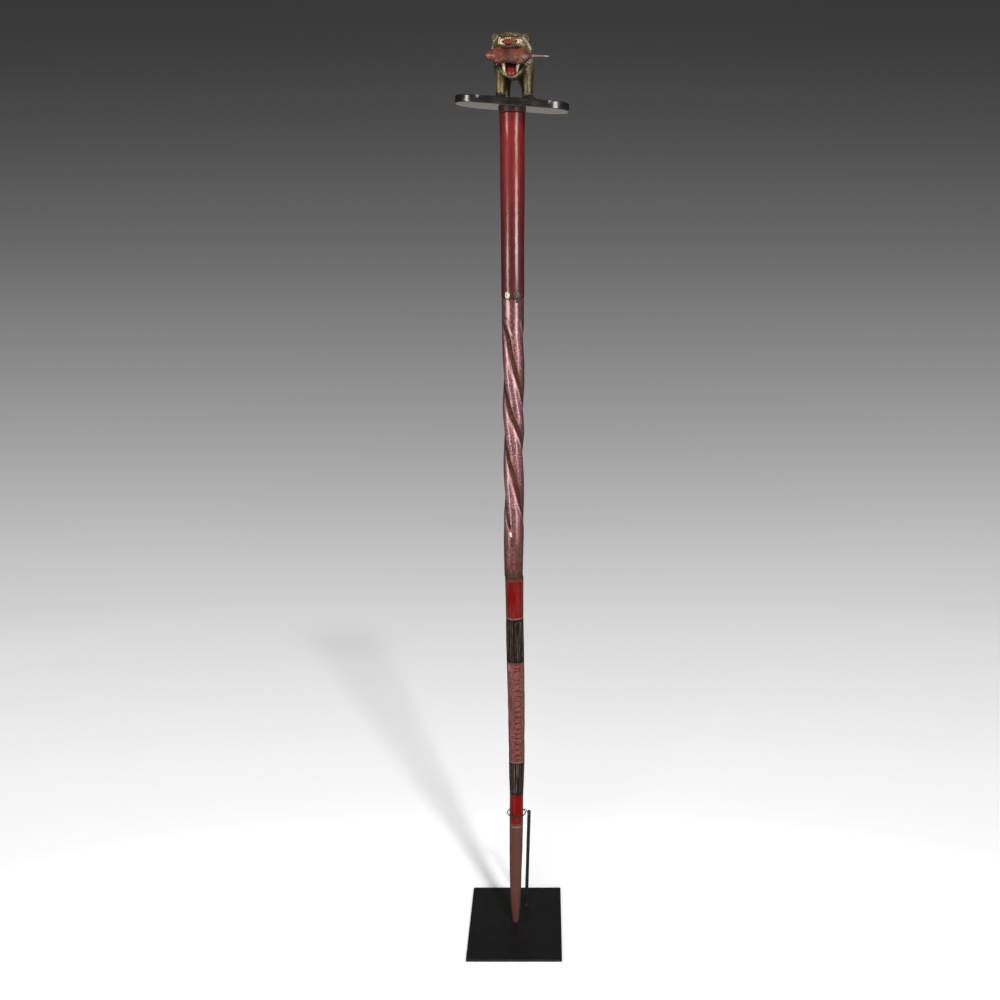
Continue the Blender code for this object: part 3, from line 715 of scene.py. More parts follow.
def makeLowerShaft(s):
    # Radius by height; cut lines in the black bands and a ladder of V notches up the front.
    low, high = shaft["gap"], shaft["lowerJoint"] - shaft["gap"]
    fine = [np.arange(a - 0.004, b + 0.004, s["fineStep"]) for a, b in s["bands"]]
    fine.append(np.arange(s["bands"][0][1], s["bands"][1][0], s["fineStep"]))
    rows = np.unique(np.round(np.concatenate([endRows(low, high, s["coarseStep"]), *fine]), 5))
    rows = rows[np.concatenate([[True], np.diff(rows) > 0.00025])]
    bearing, height, radius = shaftGrid(rows, s["columns"])
    radius = addWaves(radius, bearing, height, s["slowWaves"], ramp(0, 0.1, height))
    radius = addWaves(radius, bearing, height, s["fineWaves"])
    knobs = ramp(0.33, 0.36, height) * (1 - ramp(0.49, 0.52, height))
    radius = addWaves(radius, bearing, height, s["knobs"], knobs)
    cut = np.maximum(*(cutLines(bearing, height, *band, s, 40 + k) for k, band in enumerate(s["bands"])))
    radius = radius - s["cutDepth"] * cut
    rng = np.random.default_rng(50)
    notch = np.zeros_like(cut)
    for k in range(s["notches"]):
        middle = s["notchTop"] + (s["notchBottom"] - s["notchTop"]) * k / (s["notches"] - 1)
        middle = middle + rng.uniform(-s["notchJitter"], s["notchJitter"])
        middle = s["topNotches"][k] if k < len(s["topNotches"]) else middle + s["notchLift"]
        off = wrapAngle(bearing - math.radians(s["notchBearing"] + rng.uniform(-2, 2)))
        sideways = radius * np.sin(off)
        slant = rng.uniform(-s["notchSlant"], s["notchSlant"]) * sideways
        up = np.abs(height - middle - slant) / s["notchHeight"]
        weight = s["topWeight"] if k < len(s["topNotches"]) else rng.uniform(*s["notchWeights"])
        reach = radius - weight * s["notchDepth"] * 2 * (0.5 - up)
        flat = np.minimum(radius, reach / np.maximum(np.cos(off), 0.5))
        held = (np.abs(sideways) < s["notchWidth"] / 2) & (np.abs(off) < 1) & (up < 0.5)
        stroke = (1 - ramp(0.3, 0.62, up)) * (1 - ramp(0.36, 0.52, np.abs(sideways) / s["notchWidth"]))
        notch = np.maximum(notch, weight * stroke * (np.abs(off) < 1.2))
        radius = np.where(held, flat, radius)
    nick, orange, stroke, footSpot = (patch(bearing, height, *s[name])
                                      for name in ("nick", "orange", "stroke", "footSpot"))
    across = np.abs(wrapAngle(bearing - math.radians(s["notchBearing"])))
    radius = radius - s["nickDepth"] * ramp(0.45, 0.7, nick)
    radius = radius - roundEnds(height, low, high, reach=0.0008, cut=0.0004)
    piece = shaftTube("lowerShaft", bearing, height, radius)
    rails = bump(across * radius, s["notchWidth"] / 2, 0.0012)
    giveMasks(piece, cut=cut, notch=notch, nick=nick, orange=orange, stroke=stroke, footSpot=footSpot,
              rails=rails * ramp(0.33, 0.345, height) * (1 - ramp(0.44, 0.47, height)),
              flank=ramp(0.62, 1.18, np.abs(wrapAngle(bearing + pi / 2 - 0.02))))
    return piece


def bandMask(p, level, low, high, wander=0.0012, edge=0.0003):
    # 1 between two heights, with a hand-painted edge.
    moved = level + (p.noise(170, 4) - 0.5) * (wander * 4)
    return moved.ramp(low - edge, low + edge) * moved.ramp(high + edge, high - edge)


def paintLowerShaft(s):
    # Worn pink-brown wood with two red bands and two black ones, pale where the knife cut through.
    p = Paint("bandedPaint", s, {"IOR": 1.45, "Specular IOR Level": 0.04})
    level = p.axis(2) - plateTop
    grain = p.grain(620, 18, 0.7)[0]
    broad = p.brush(110, 4, 4)
    flank = p.mask("flank")
    p.start(level.ramp(0.2, 0.52), "dullPink", "pink")
    p.over(broad.ramp(0.6, 0.32, 0, 0.55), "brown")
    p.over(grain.ramp(0.6, 0.2, 0, 0.6), "brown")
    p.over(p.brush(240, 5).ramp(0.5, 0.66, 0, 0.6) * level.ramp(0.3, 0.35), "ruddy")
    across = p.axis(0) + (broad - 0.5) * 0.02
    p.over(level.ramp(0.3, 0.36, 0.12, 0.42), p.blend(across.ramp(-0.002, 0.008), "mauve", "tan"))
    p.over(level.ramp(0.035, 0.004, 0, 0.6), "brown")
    p.over(p.noise(300, 3).ramp(0.54, 0.64) * level.ramp(0.22, 0.34, 0.35, 0.75), "mark")
    p.over(p.noise(210, 2).ramp(0.56, 0.7, 0, 0.45) * level.ramp(0.3, 0.36), "orangePaint")
    p.over(level.ramp(0.667, 0.67, 0, 0.85), "brown")
    rung = (p.ragged("notch", 330, 0.8, 0.38, 0.3) * 0.95).most(p.mask("rails") * 0.35)
    p.over(rung * grain.ramp(0.8, 0.3, 0.55, 1), p.blend(level.ramp(0.494, 0.5), "rungBrown", "mark"))
    p.over(p.ragged("orange", 260, 0.9, softness=0.2) * 0.7, "orangePaint")
    marks = p.mask("stroke").most(p.mask("nick").most(p.mask("footSpot")))
    p.over(p.ragged(marks, 420, 0.5) * 0.8, "mark")
    pale = bandMask(p, level, s["paleLine"] - 0.0012, s["paleLine"] + 0.0016, 0.0007)
    pale = pale * flank.ramp(0, 0.35, 0.85, 0.25)
    for low, high in s["bands"]:
        pale = pale.most(bandMask(p, level, high - 0.0005, high + 0.0018, 0.0006) * 0.55)
    black, red = (bandMask(p, level, *low).most(bandMask(p, level, *high))
                  for low, high in (s["bands"], s["redBands"]))
    fringe = bandMask(p, level, s["bands"][1][0] - 0.0035, s["bands"][1][0] + 0.002, 0.0035)
    p.over(fringe * 0.6, "umber")
    # Duller red in random patches, and painted sheen: the red bands turn paler and browner towards the sides
    # and round the back.
    redTone = p.blend(broad.ramp(0.58, 0.3, 0, 0.35), "red", "redEdge")
    redTone = p.blend(p.ragged("flank", 260, 0.8, 0.55, 0.3) * 0.8, redTone, "redEdge")
    lowRim = level.ramp(0.228, 0.216) * flank.ramp(0.02, 0.3)
    p.over(red, p.blend(lowRim * broad.ramp(0.35, 0.55), redTone, "brown"))
    p.over(black, p.blend(grain.ramp(0.35, 0.75), "black", "greyBlack"))
    line = p.blend(p.brush(330, 9).ramp(0.42, 0.6), "umber", "beige")
    p.over(p.ragged("cut", 350, 0.6, 0.45, 0.14) * black * 0.85, line)
    p.over(pale * 0.55, "beige")
    # Painted shadow of the holding ring: a soft brown band on the shaft just below it.
    p.over(bandMask(p, level, s["ringRub"] - 0.0022, s["ringRub"] + 0.0012, 0.0005) * 0.45, "brown")
    nicks = p.specks(330, 0.22, 0.12)
    p.over(nicks * 0.4, "brown")
    roughness = grain.ramp(0.2, 0.8, 0.62, 0.5) - red * 0.08
    return p.finish(roughness, grain * 0.7 - nicks * 0.5, 0.45, 0.0004)


dress(makeLowerShaft(lowerShaft), paintLowerShaft(lowerShaft), "lower_paint", "lower_shaft")


supportRod = {
    "foot": (0.0188, 0.053, 0.0), "top": (0.025, 0.053, 0.2), "radius": 0.0032, "columns": 32,
    "weldReach": 0.0022, "weldWidth": 0.0016,
    "black": (0.0045, 0.0045, 0.005), "steel": (0.11, 0.1, 0.095),
}


def makeSupportRod(s):
    # A straight round bar with a rounded top; its foot flares into the bead of its weld.
    low = np.array(s["foot"]) + (0, 0, plateTop + shaft["gap"])
    high = np.array(s["top"]) + (0, 0, plateTop)
    length = np.linalg.norm(high - low)
    shoulder = length - s["radius"]
    near = np.linspace(0, 1, 10) ** 2 * 0.004
    dome = shoulder + s["radius"] * np.sin(np.linspace(0, pi / 2, 9))[1:-1]
    along = np.concatenate([near, np.linspace(0.0045, shoulder, 150), dome])[:, None]
    angle = allRound(s["columns"])
    radius = s["radius"] * np.sqrt(1 - np.clip((along - shoulder) / s["radius"], 0, 1) ** 2)
    weld = np.clip(1 - along / s["weldReach"], 0, 1) ** 2
    radius = radius + s["weldWidth"] * weld * (1 + 0.22 * np.cos(5 * angle + 1) + 0.12 * np.cos(9 * angle))
    radius = radius + 0.00005 * np.cos(2 * angle + 40 * along) * (1 - weld)
    x, y, z = (low + (high - low) * along[..., None] / length).transpose(2, 0, 1)
    return makeTube("supportRod", x + radius * np.cos(angle), y + radius * np.sin(angle), z)


def paintBlackSteel(name, s):
    # Black stove paint: fine dimples, dust, and steel where it has rubbed off.
    p = Paint(name, s, {"IOR": 1.5, "Coat Roughness": 0.25, "Coat Weight": 0.0, "Specular IOR Level": 0.25})
    cloud = p.noise(60, 6)
    p.start(cloud.ramp(0.3, 0.8) * 0.045, "black", "steel")
    p.over(p.specks(200, 0.14, 0.06) * 0.5, "steel")
    return p.finish((cloud - 0.5) * 0.1 + 0.5, p.noise(1500, 2), 0.25, 0.00015)


dress(makeSupportRod(supportRod), paintBlackSteel("blackRodPaint", supportRod), "rod_black", "support_rod")


holdingRing = {
    "height": 0.225, "radius": 0.0164, "wire": 0.001, "around": 160, "columns": 20,
    "weldShare": 1 - 0.0062 / 0.2, "landing": 35,
    "weldHandle": (0, -0.01, 0.001), "landingHandle": (0.004, 0.013, -0.002),
    "metal": (0.46, 0.43, 0.4), "tarnish": (0.22, 0.17, 0.13), "rust": (0.036, 0.015, 0.009),
    "paint": supportRod["black"],
}


def makeHoldingRing(s):
    # A wire circle round the shaft; its stem follows a cubic curve back to the rod.
    middle = np.array([follow(shaft["bow"], s["height"]), 0, plateTop + s["height"]])
    up = np.array([0, 0, 1.0])
    angle = allRound(s["around"])[:, None, None]
    turn = allRound(s["columns"])[:, None]
    away = np.cos(angle) * (1, 0, 0) + np.sin(angle) * (0, 1, 0)
    thick = s["wire"] * (1 + 0.05 * np.cos(7 * angle + 1) + 0.55 * bump(np.sin(angle), -1, 0.5))
    circle = middle + 0.00025 * np.cos(3 * angle + 0.7) * up + away * s["radius"]
    circle = circle + thick * (np.cos(turn) * away + np.sin(turn) * up)
    ringQuads = gridFaces(s["around"] + 1, s["columns"]) % (s["around"] * s["columns"])
    low, high = np.array(supportRod["foot"]), np.array(supportRod["top"])
    weld = low + (high - low) * s["weldShare"] + (0, -supportRod["radius"] - 0.0003, plateTop)
    land = math.radians(s["landing"])
    landing = middle + s["radius"] * np.array([math.cos(land), math.sin(land), 0])
    knots = [weld, weld + s["weldHandle"], landing + s["landingHandle"], landing]
    t = np.linspace(0, 1, 40)[:, None]
    weights = ((1 - t) ** 3, 3 * t * (1 - t) ** 2, 3 * t * t * (1 - t), t ** 3)
    line = sum(weight * knot for weight, knot in zip(weights, knots))
    swell = s["wire"] * (1 + 0.55 * bump(t, 0, 0.4) + 0.25 * bump(t, 1, 0.06))
    stem = carriedRing(np.hstack([line, swell]), 110, s["columns"])
    points, faces = joinShapes([(circle.reshape(-1, 3), ringQuads[:, ::-1].tolist()), stem])
    piece = makeMesh("holdingRing", points, faces)
    giveMasks(piece, front=ramp(-0.0085, -0.0135, points[:, 1]), weld=ramp(0.02, 0.03, points[:, 1]))
    return piece


def paintRing(s):
    # Dull soft steel with brown tarnish in clouds, rusty in front of the shaft, painted black at the rod.
    p = Paint("dullWire", s, {"Specular IOR Level": 0.15})
    cloud = p.noise(160, 5)
    front = p.mask("front")
    weld = p.mask("weld")
    p.start(cloud.ramp(0.42, 0.6), "metal", "tarnish")
    p.over(front, "rust")
    p.over(weld, "paint")
    p.link("Metallic", front.most(weld).ramp(0.2, 0.8, 1, 0))
    return p.finish(cloud.ramp(0.35, 0.65, 0.32, 0.5), p.noise(900, 3), 0.2, 0.0001)


dress(makeHoldingRing(holdingRing), paintRing(holdingRing), "ring_wire", "holding_ring")


basePlate = {
    "size": (0.17, 0.22, 0.005), "edge": 0.0006, "corner": 0.0015, "cornerSteps": 5, "rings": 24,
    "black": (0.006, 0.006, 0.0065), "steel": (0.1, 0.095, 0.09),
}


def roundedSlab(s, bottom):
    # An outline with round corners, carried over a rounded edge; rings that shrink to the middle close it.
    (wide, deep, thick), corner, edge, rings = s["size"], s["corner"], s["edge"], s["rings"]
    quarter = np.linspace(0, pi / 2, s["cornerSteps"])
    corners = []
    for start, (sx, sy) in zip((0, pi / 2, pi, 3 * pi / 2), ((1, 1), (-1, 1), (-1, -1), (1, -1))):
        arc = np.stack([np.cos(quarter + start), np.sin(quarter + start)], axis=-1)
        corners.append(np.array([sx * (wide / 2 - corner), sy * (deep / 2 - corner)]) + corner * arc)
    between = np.linspace(0, 1, rings)[1:-1, None]
    sides = [part for k in range(4)
             for part in (corners[k], corners[k][-1] + (corners[(k + 1) % 4][0] - corners[k][-1]) * between)]
    outline = np.vstack(sides)
    outward = np.roll(outline, -1, axis=0) - np.roll(outline, 1, axis=0)
    outward = np.stack([outward[:, 1], -outward[:, 0]], axis=-1)
    outward /= np.linalg.norm(outward, axis=1, keepdims=True)
    bend = np.linspace(0, pi / 2, 6)
    layers = [(edge * (1 - math.sin(a)), bottom + edge * (1 - math.cos(a))) for a in bend]
    layers += [(edge * (1 - math.cos(a)), bottom + thick - edge * (1 - math.sin(a))) for a in bend]
    rows = [np.column_stack([outline - inset * outward, np.full(len(outline), z)]) for inset, z in layers]
    shrink = np.linspace(1, 0, rings)[1:-1]
    lowFace = [rows[0] * (k, k, 1) for k in shrink[::-1]]
    highFace = [rows[-1] * (k, k, 1) for k in shrink]
    return closedTube(np.stack(lowFace + rows + highFace))


plate = makeMesh("basePlate", *roundedSlab(basePlate, 0.0), sharpAngle=40)
dress(plate, paintBlackSteel("blackPlatePaint", basePlate), "plate_black", "base_plate")


finialBoard = {
    "size": (0.177, 0.08, 0.0118), "edge": 0.0018, "corner": 0.032, "cornerSteps": 14, "rings": 30,
    "centreX": 0.0045, "top": 1.4476, "yaw": 2.0, "roll": 3.95, "faceSwell": 0.00022, "rimSwell": 0.001,
    "black": (0.01, 0.0092, 0.0085), "brown": (0.04, 0.026, 0.018), "scuff": (0.3, 0.27, 0.23),
    "scuffs": ((-0.08, -0.04, 0.0035, 0.0016), (-0.054, -0.0402, 0.003, 0.002),
               (0.057, -0.0402, 0.003, 0.0012), (0.067, -0.04, 0.0022, 0.0014),
               (0.083, -0.036, 0.003, 0.0014)),
}


def makeBoard(s):
    # A slab with slightly uneven faces, turned by its yaw, laid over by its roll and lifted onto the shaft.
    wide, deep, thick = s["size"]
    points, faces = roundedSlab(s, -thick)
    side = np.where(points[:, 2] > -thick / 2, 1, -1)
    points[:, 2] += s["faceSwell"] * fieldNoise(points, 60, 0.05) * side - 0.0001
    points[:, :2] *= (1 - 0.0012 + s["rimSwell"] * fieldNoise(points * (1, 1, 0), 61, 0.06))[:, None]
    x, y, z = points.T
    scuff = np.zeros(len(points))
    for cx, cy, half, high in s["scuffs"]:
        away = ((x - cx) / half) ** 2 + ((y - cy) / 0.003) ** 2 + ((z + 0.001) / high) ** 2
        scuff = np.maximum(scuff, np.exp(-0.7 * away))
    rim = bump(z, 0, 0.0012) + bump(z, -thick, 0.0012)
    edge = np.maximum(np.abs(x) / (wide / 2), np.abs(y) / (deep / 2))
    laid = points @ turnMatrix((0, 0, s["yaw"])).T @ turnMatrix((0, s["roll"], 0)).T
    laid = laid + np.array([s["centreX"], 0, plateTop + s["top"]])
    piece = makeMesh("finialBoard", laid, faces, sharpAngle=50)
    giveMasks(piece, scuff=scuff, rim=rim * ramp(0.9, 0.98, edge))
    return piece


def paintBoard(s):
    # Black lacquer, brown where it thins at the arrises, pale where it has been knocked.
    p = Paint("blackLacquer", s, {"IOR": 1.5, "Coat Weight": 0.68, "Coat Roughness": 0.1})
    grain = drawnNoise(p.place, (40.0, 400.0, 400.0), 4.0, 0.5)
    p.start(grain.ramp(0.45, 0.75, 0, 0.5), "black", "brown")
    p.over(p.ragged(p.mask("rim") * 0.42, 330, 1.0, 0.55) * 0.7, "brown")
    knock = p.ragged("scuff", 700, 0.7)
    p.over(knock * 0.6, "scuff")
    return p.finish(p.noise(70, 5).ramp(0.35, 0.7, 0.26, 0.42) + knock * 0.3, grain, 0.18, 0.0003)


dress(makeBoard(finialBoard), paintBoard(finialBoard), "board_gloss")


boardNeck = {
    "low": 0.0206, "high": 0.024, "hollow": 0.0004, "undercut": 0.0007, "uneven": 0.00012, "columns": 96,
    "rows": 26,
    "olive": (0.105, 0.068, 0.046), "red": (0.13, 0.058, 0.046), "dark": (0.03, 0.02, 0.014),
}


def makeBoardNeck(s):
    # A short cone from the shaft's top into the board, hollowed a little like a turned collar.
    low = plateTop + shaft["top"] + shaft["gap"]
    high = plateTop + finialBoard["top"] - finialBoard["size"][2] / 2
    share = np.linspace(0, 1, s["rows"])[:, None]
    angle = allRound(s["columns"])
    radius = s["low"] + (s["high"] - s["low"]) * share - s["hollow"] * np.sin(pi * share)
    uneven = s["uneven"] * np.cos(3 * angle + 2) * np.cos(5 * share)
    radius = radius - s["undercut"] * (1 - ramp(0, 0.08, share)) + uneven
    x = follow(shaft["bow"], shaft["top"]) + radius * np.cos(angle)
    return makeTube("boardNeck", x, radius * np.sin(angle), low + (high - low) * share)


def paintNeck(s):
    # Dull olive-brown paint with a red cast and black dirt in the angle.
    p = Paint("neckGloss", s, {"IOR": 1.45, "Specular IOR Level": 0.12})
    p.start(p.noise(120, 5).ramp(0.42, 0.6), "olive", "red")
    fine = p.noise(420, 4)
    p.over(fine.ramp(0.5, 0.68, 0, 0.6), "dark")
    return p.finish(fine.ramp(0.3, 0.7, 0.28, 0.45), fine, 0.25, 0.0003)


dress(makeBoardNeck(boardNeck), paintNeck(boardNeck), "board_gloss", "finial_board")


# Shapes written as fields: how far a point lies outside a ball or a limb, blended where they meet

def ovoidField(points, centre, radii, turn=(0, 0, 0)):
    # Signed distance to a stretched ball, good near its surface: k (k - 1) / |p / r^2| with k = |p / r|.
    local = (points - np.array(centre)) @ turnMatrix(turn)
    k = np.linalg.norm(local / radii, axis=1)
    return k * (k - 1) / np.maximum(np.linalg.norm(local / np.square(radii), axis=1), 1e-9)


def limbField(points, stations, steps=12):
    # Signed distance to a round limb: the nearest of its straight pieces of changing radius.
    path = smoothPath(stations, steps)
    nearest = np.full(len(points), np.inf)
    for start, end in zip(path[:-1], path[1:]):
        run = end[:3] - start[:3]
        share = np.clip((points - start[:3]) @ run / max(run @ run, 1e-12), 0, 1)
        away = np.linalg.norm(points - start[:3] - share[:, None] * run, axis=1)
        nearest = np.minimum(nearest, away - start[3] - share * (end[3] - start[3]))
    return nearest


def softUnion(first, second, blend):
    # The smaller of two distances, with a fillet about as wide as the blend.
    h = np.clip(0.5 + 0.5 * (second - first) / blend, 0, 1)
    return second * (1 - h) + first * h - blend * h * (1 - h)


def wholeField(points, parts, margin=9.0):
    # Every shape of every part, joined with that part's blend and worked out only near its own box.
    total = np.full(len(points), 60.0)
    for blend, shapes in parts:
        for shape in shapes:
            limb = len(shape[0]) == 4
            spots = np.array(shape) if limb else np.array([shape[0]])
            if limb:
                reach = spots[:, 3:]
            else:
                reach = max(shape[1]) if len(shape) > 2 else np.array(shape[1])
            low = (spots[:, :3] - reach).min(0) - margin
            high = (spots[:, :3] + reach).max(0) + margin
            near = np.flatnonzero(((points > low) & (points < high)).all(axis=1))
            local = limbField(points[near], shape) if limb else ovoidField(points[near], *shape)
            total[near] = softUnion(total[near], local, blend)
    return total


def remeshed(name, parts, voxel):
    # One even skin over the shapes of all parts: their union from a voxel remesh, made final.
    shapes = [carriedRing(shape, 14, 16) if len(shape[0]) == 4 else ovoid(*shape, rows=16, columns=26)
              for shape in (shape for part in parts for shape in part)]
    piece = makeMesh(name, *joinShapes(shapes))
    remesh = piece.modifiers.new("evenSkin", "REMESH")
    remesh.mode = "VOXEL"
    remesh.voxel_size = voxel
    remesh.use_smooth_shade = True
    skin = bpy.data.meshes.new_from_object(piece.evaluated_get(bpy.context.evaluated_depsgraph_get()))
    piece.modifiers.clear()
    piece.data = skin
    skin.name = name
    return piece


def relaxed(points, ends, rounds, share=0.5):
    # Moves each point a share of the way to the mean of its neighbours, round after round.
    count = np.bincount(ends.ravel(), minlength=len(points))[:, None]
    for _ in range(rounds):
        total = np.zeros_like(points)
        for axis in range(3):
            total[:, axis] = (np.bincount(ends[:, 0], points[ends[:, 1], axis], len(points))
                              + np.bincount(ends[:, 1], points[ends[:, 0], axis], len(points)))
        points = points + share * (total / count - points)
    return points


def carve(piece, field, passes=4, rounds=2):
    # Slides the skin along its normals until the field is 0 there, evening its points between passes.
    mesh = piece.data
    ends = np.empty(len(mesh.edges) * 2, dtype=np.int32)
    mesh.edges.foreach_get("vertices", ends)
    for number in range(passes):
        points = readPoints(mesh)
        if number < passes - 1:
            points = relaxed(points, ends.reshape(-1, 2), rounds)
            writePoints(mesh, points)
        writePoints(mesh, points - np.clip(field(points), -1.5, 1.5)[:, None] * readNormals(mesh) * 0.9)
    return readPoints(mesh)


def nearLine(points, stations, steps=24):
    # Distance from each point to a smooth line through stations.
    return limbField(points, [(*station, 0.0) for station in stations], steps)


# The leopard, in millimetres from the top of the board's middle; -Y is its front, +X its left

leopard = {
    "datum": (0, 0, 1.4457), "voxel": 0.76, "furDepth": 0.45, "furLines": 46,
    "facets": ((0.3, 72, 11), (0.13, 73, 4.5)),
    "body": (((6, -12, 59), (29, 19, 24.5)), ((7, 6, 58), (28.5, 30, 21.5)),
             ((8, 22, 57.5), (29.5, 18, 24.5)), ((6, -12, 66, 22), (4.5, -22, 74, 21))),
    "legs": (((-13, -27, -4, 7), (-12.6, -24, 30, 7.2), (-12, -16, 54, 12)),
             ((28.6, -27, -6, 6.4), (28.2, -24, 30, 7.2), (25.5, -16, 54, 12)),
             ((-7.5, 28, -4, 7.6), (-8.5, 26, 22, 8.8), (-8, 20, 46, 15)),
             ((27.5, 28, -6, 8.4), (27.4, 26, 22, 9.2), (23, 20, 46, 15))),
    "paws": (((-14, -30, 1.6), (9.4, 8.6, 4.6)), ((31.6, -30, -0.4), (9.6, 8.6, 5)),
             ((-8.5, 22, 1.5), (9.6, 9.5, 5)), ((28.5, 22, -0.4), (9.8, 9.5, 5.2))),
    "tail": (((8, 35, 68, 5.5), (14, 40, 58, 5), (24, 38, 40, 4.8), (29, 36, 20, 4.6), (30, 35, 6, 4.6)),),
    "head": (((3.2, -27, 77), (26.5, 23, 18.5)), ((3, -23, 87.5), (20, 12, 7.5)),
             ((2.6, -38, 79.5), (20, 14, 12)), ((1.4, -46, 76.5), (11.5, 13, 8), (-6, 0, -6)),
             ((4.3, -24, 66), (27, 15, 15))),
    "lips": (((1, -50, 71.6), (13, 9, 4.6)), ((-7.3, -53, 72.4), (7.6, 7.4, 4.6)),
             ((9.1, -53, 72.4), (7.6, 7.4, 4.6))),
    "brows": (((-8.1, -43.5, 84.4), (7.5, 5.6, 3.6)), ((12.9, -43.5, 84.4), (7.5, 5.6, 3.6))),
    "ears": (((-18.8, -19, 87), (7.8, 4.8, 9), (0, -28, 0)), ((24.8, -19, 87), (7.8, 4.8, 9), (0, 28, 0))),
    "ruff": (((-14.6, -31, 86, 4.2), (-21.8, -27, 73, 4.6), (-22.1, -22, 60, 4.6), (-16.7, -27, 50, 4.4)),
             ((21.4, -31, 86, 4.2), (30.2, -27, 73, 4.6), (30.9, -22, 60, 4.6), (25.3, -27, 50, 4.4))),
    "jaw": (((-17.4, -23, 54, 4.2), (-10.6, -38, 40, 3.8), (-2.4, -45.5, 32.4, 3.2), (5, -47, 30.6, 2.9)),
            ((26.2, -23, 54, 4.2), (19.4, -38, 40, 3.8), (11.9, -45.5, 32.4, 3.2), (5, -47, 30.6, 2.9)),
            ((4.6, -14, 54, 20), (4.8, -30, 43, 12), (5, -39, 36, 7.2))),
    "eyes": ((-8.9, -45.5, 78.9), (13.7, -45.5, 78.9)), "eyeSize": (5.8, 5.2, 4.9),
    "pupils": ((-7.4, 78.4), (11.8, 79.6)), "pupilSize": 1.9,
    "nose": ((-0.1, -58, 76.9), (6.8, 4.6, 3.6)), "dotCount": 6, "dotSpan": (-11.8, 5.6), "dotHeight": 82.6,
    "tongue": ((4.8, -26, 47, 6.4), (4.8, -36, 44.4, 6.2), (4.8, -44, 39.8, 5.8), (4.8, -49.6, 34.4, 4.8)),
    "fangs": (((16.2, -45, 60, 3.2), (15.4, -46.8, 50, 2.8), (13.8, -47.4, 42, 2.1), (13.1, -46.6, 37, 1.3)),
              ((-8.2, -45, 60, 3.3), (-7.6, -46.8, 50, 2.9), (-6.6, -47.4, 42, 2.2), (-6, -46.6, 37, 1.4))),
    "olive": (0.112, 0.083, 0.026), "gold": (0.172, 0.131, 0.036), "dark": (0.024, 0.014, 0.007),
    "cream": (0.66, 0.52, 0.32), "lime": (0.22, 0.24, 0.1), "maroon": (0.105, 0.02, 0.015),
    "lip": (0.04, 0.019, 0.012), "pawBlack": (0.012, 0.01, 0.008), "grey": (0.38, 0.36, 0.3),
    "orangeRed": (0.24, 0.075, 0.036), "slate": (0.05, 0.046, 0.056), "tongueRed": (0.22, 0.011, 0.016),
    "noseRed": (0.185, 0.013, 0.009), "deepRed": (0.065, 0.008, 0.008),
}


def fromLeopard(points):
    # The leopard's millimetres, in the frame.
    return points * mm + np.array(leopard["datum"]) + (0, 0, plateTop)


def overBoard(points):
    # Height of a point, in the leopard's millimetres, over the sloping top of the board.
    roll = math.radians(finialBoard["roll"])
    across = points[:, 0] - finialBoard["centreX"] / mm
    up = points[:, 2] - (finialBoard["top"] - leopard["datum"][2]) / mm
    return across * math.sin(roll) + up * math.cos(roll)


def leopardField(points, s=leopard):
    # Large forms with wide fillets, small ones with narrow; then eye sockets, ear cups, toes and the lip.
    blends = {"body": 7.0, "legs": 6.0, "head": 3.5, "jaw": 3.0, "paws": 2.6, "tail": 3.5, "ruff": 2.0,
              "lips": 1.4, "brows": 1.6, "ears": 3.2}
    field = wholeField(points, [(blend, s[name]) for name, blend in blends.items()])
    for centre in s["eyes"]:
        socket = ovoidField(points, np.array(centre) + (0, -3.4, 0), np.array(s["eyeSize"]) + 0.7)
        field = -softUnion(-field, socket, 0.7)
    for (centre, radii, turn), side in zip(s["ears"], (-1, 1)):
        cup = ovoidField(points, np.array(centre) + (side * 0.6, -5.2, 1.4), (4.4, 3.0, 5.4), turn)
        field = -softUnion(-field, cup, 1.2)
    x, y, z = points.T
    for centre, _ in s["paws"]:
        toes = sum(bump(x, centre[0] + offset, 0.75) for offset in (-4.1, 0.0, 4.1))
        field = field + 1.1 * toes * ramp(centre[1] - 2.0, centre[1] - 6.5, y) * (1 - ramp(6.5, 8.5, z))
    lips = bump(x, 0.9, 0.8) * ramp(-53, -57, y) * ramp(66, 69, z) * (1 - ramp(73, 75, z))
    return np.maximum(field + 1.0 * lips, 0.1 - overBoard(points))


def makeLeopard(s):
    # The field's zero surface, then chisel facets and wavy fur cuts round the ruff.
    names = ("body", "legs", "paws", "tail", "head", "lips", "brows", "ears", "ruff", "jaw")
    piece = remeshed("leopardCarving", [s[name] for name in names], s["voxel"])
    points = carve(piece, leopardField)
    x, y, z = points.T
    bearing = np.arctan2(z - 68, x - 3.5)
    ruff = 1 - ramp(0.5, 3.5, np.minimum(*(limbField(points, limb) for limb in s["ruff"])))
    waves = s["furLines"] * bearing + 2.2 * fieldNoise(points, 71, 18) + 0.25 * y
    cuts = s["furDepth"] * (ruff * ramp(-12, -18, y)) * np.sin(waves)
    facets = sum(depth * fieldNoise(points, seed, size) for depth, seed, size in s["facets"])
    floor = ramp(0.3, 3.0, overBoard(points))
    points = points + ((facets + cuts) * floor)[:, None] * readNormals(piece.data)
    maskFace(piece, points, s)
    writePoints(piece.data, fromLeopard(points))
    return piece


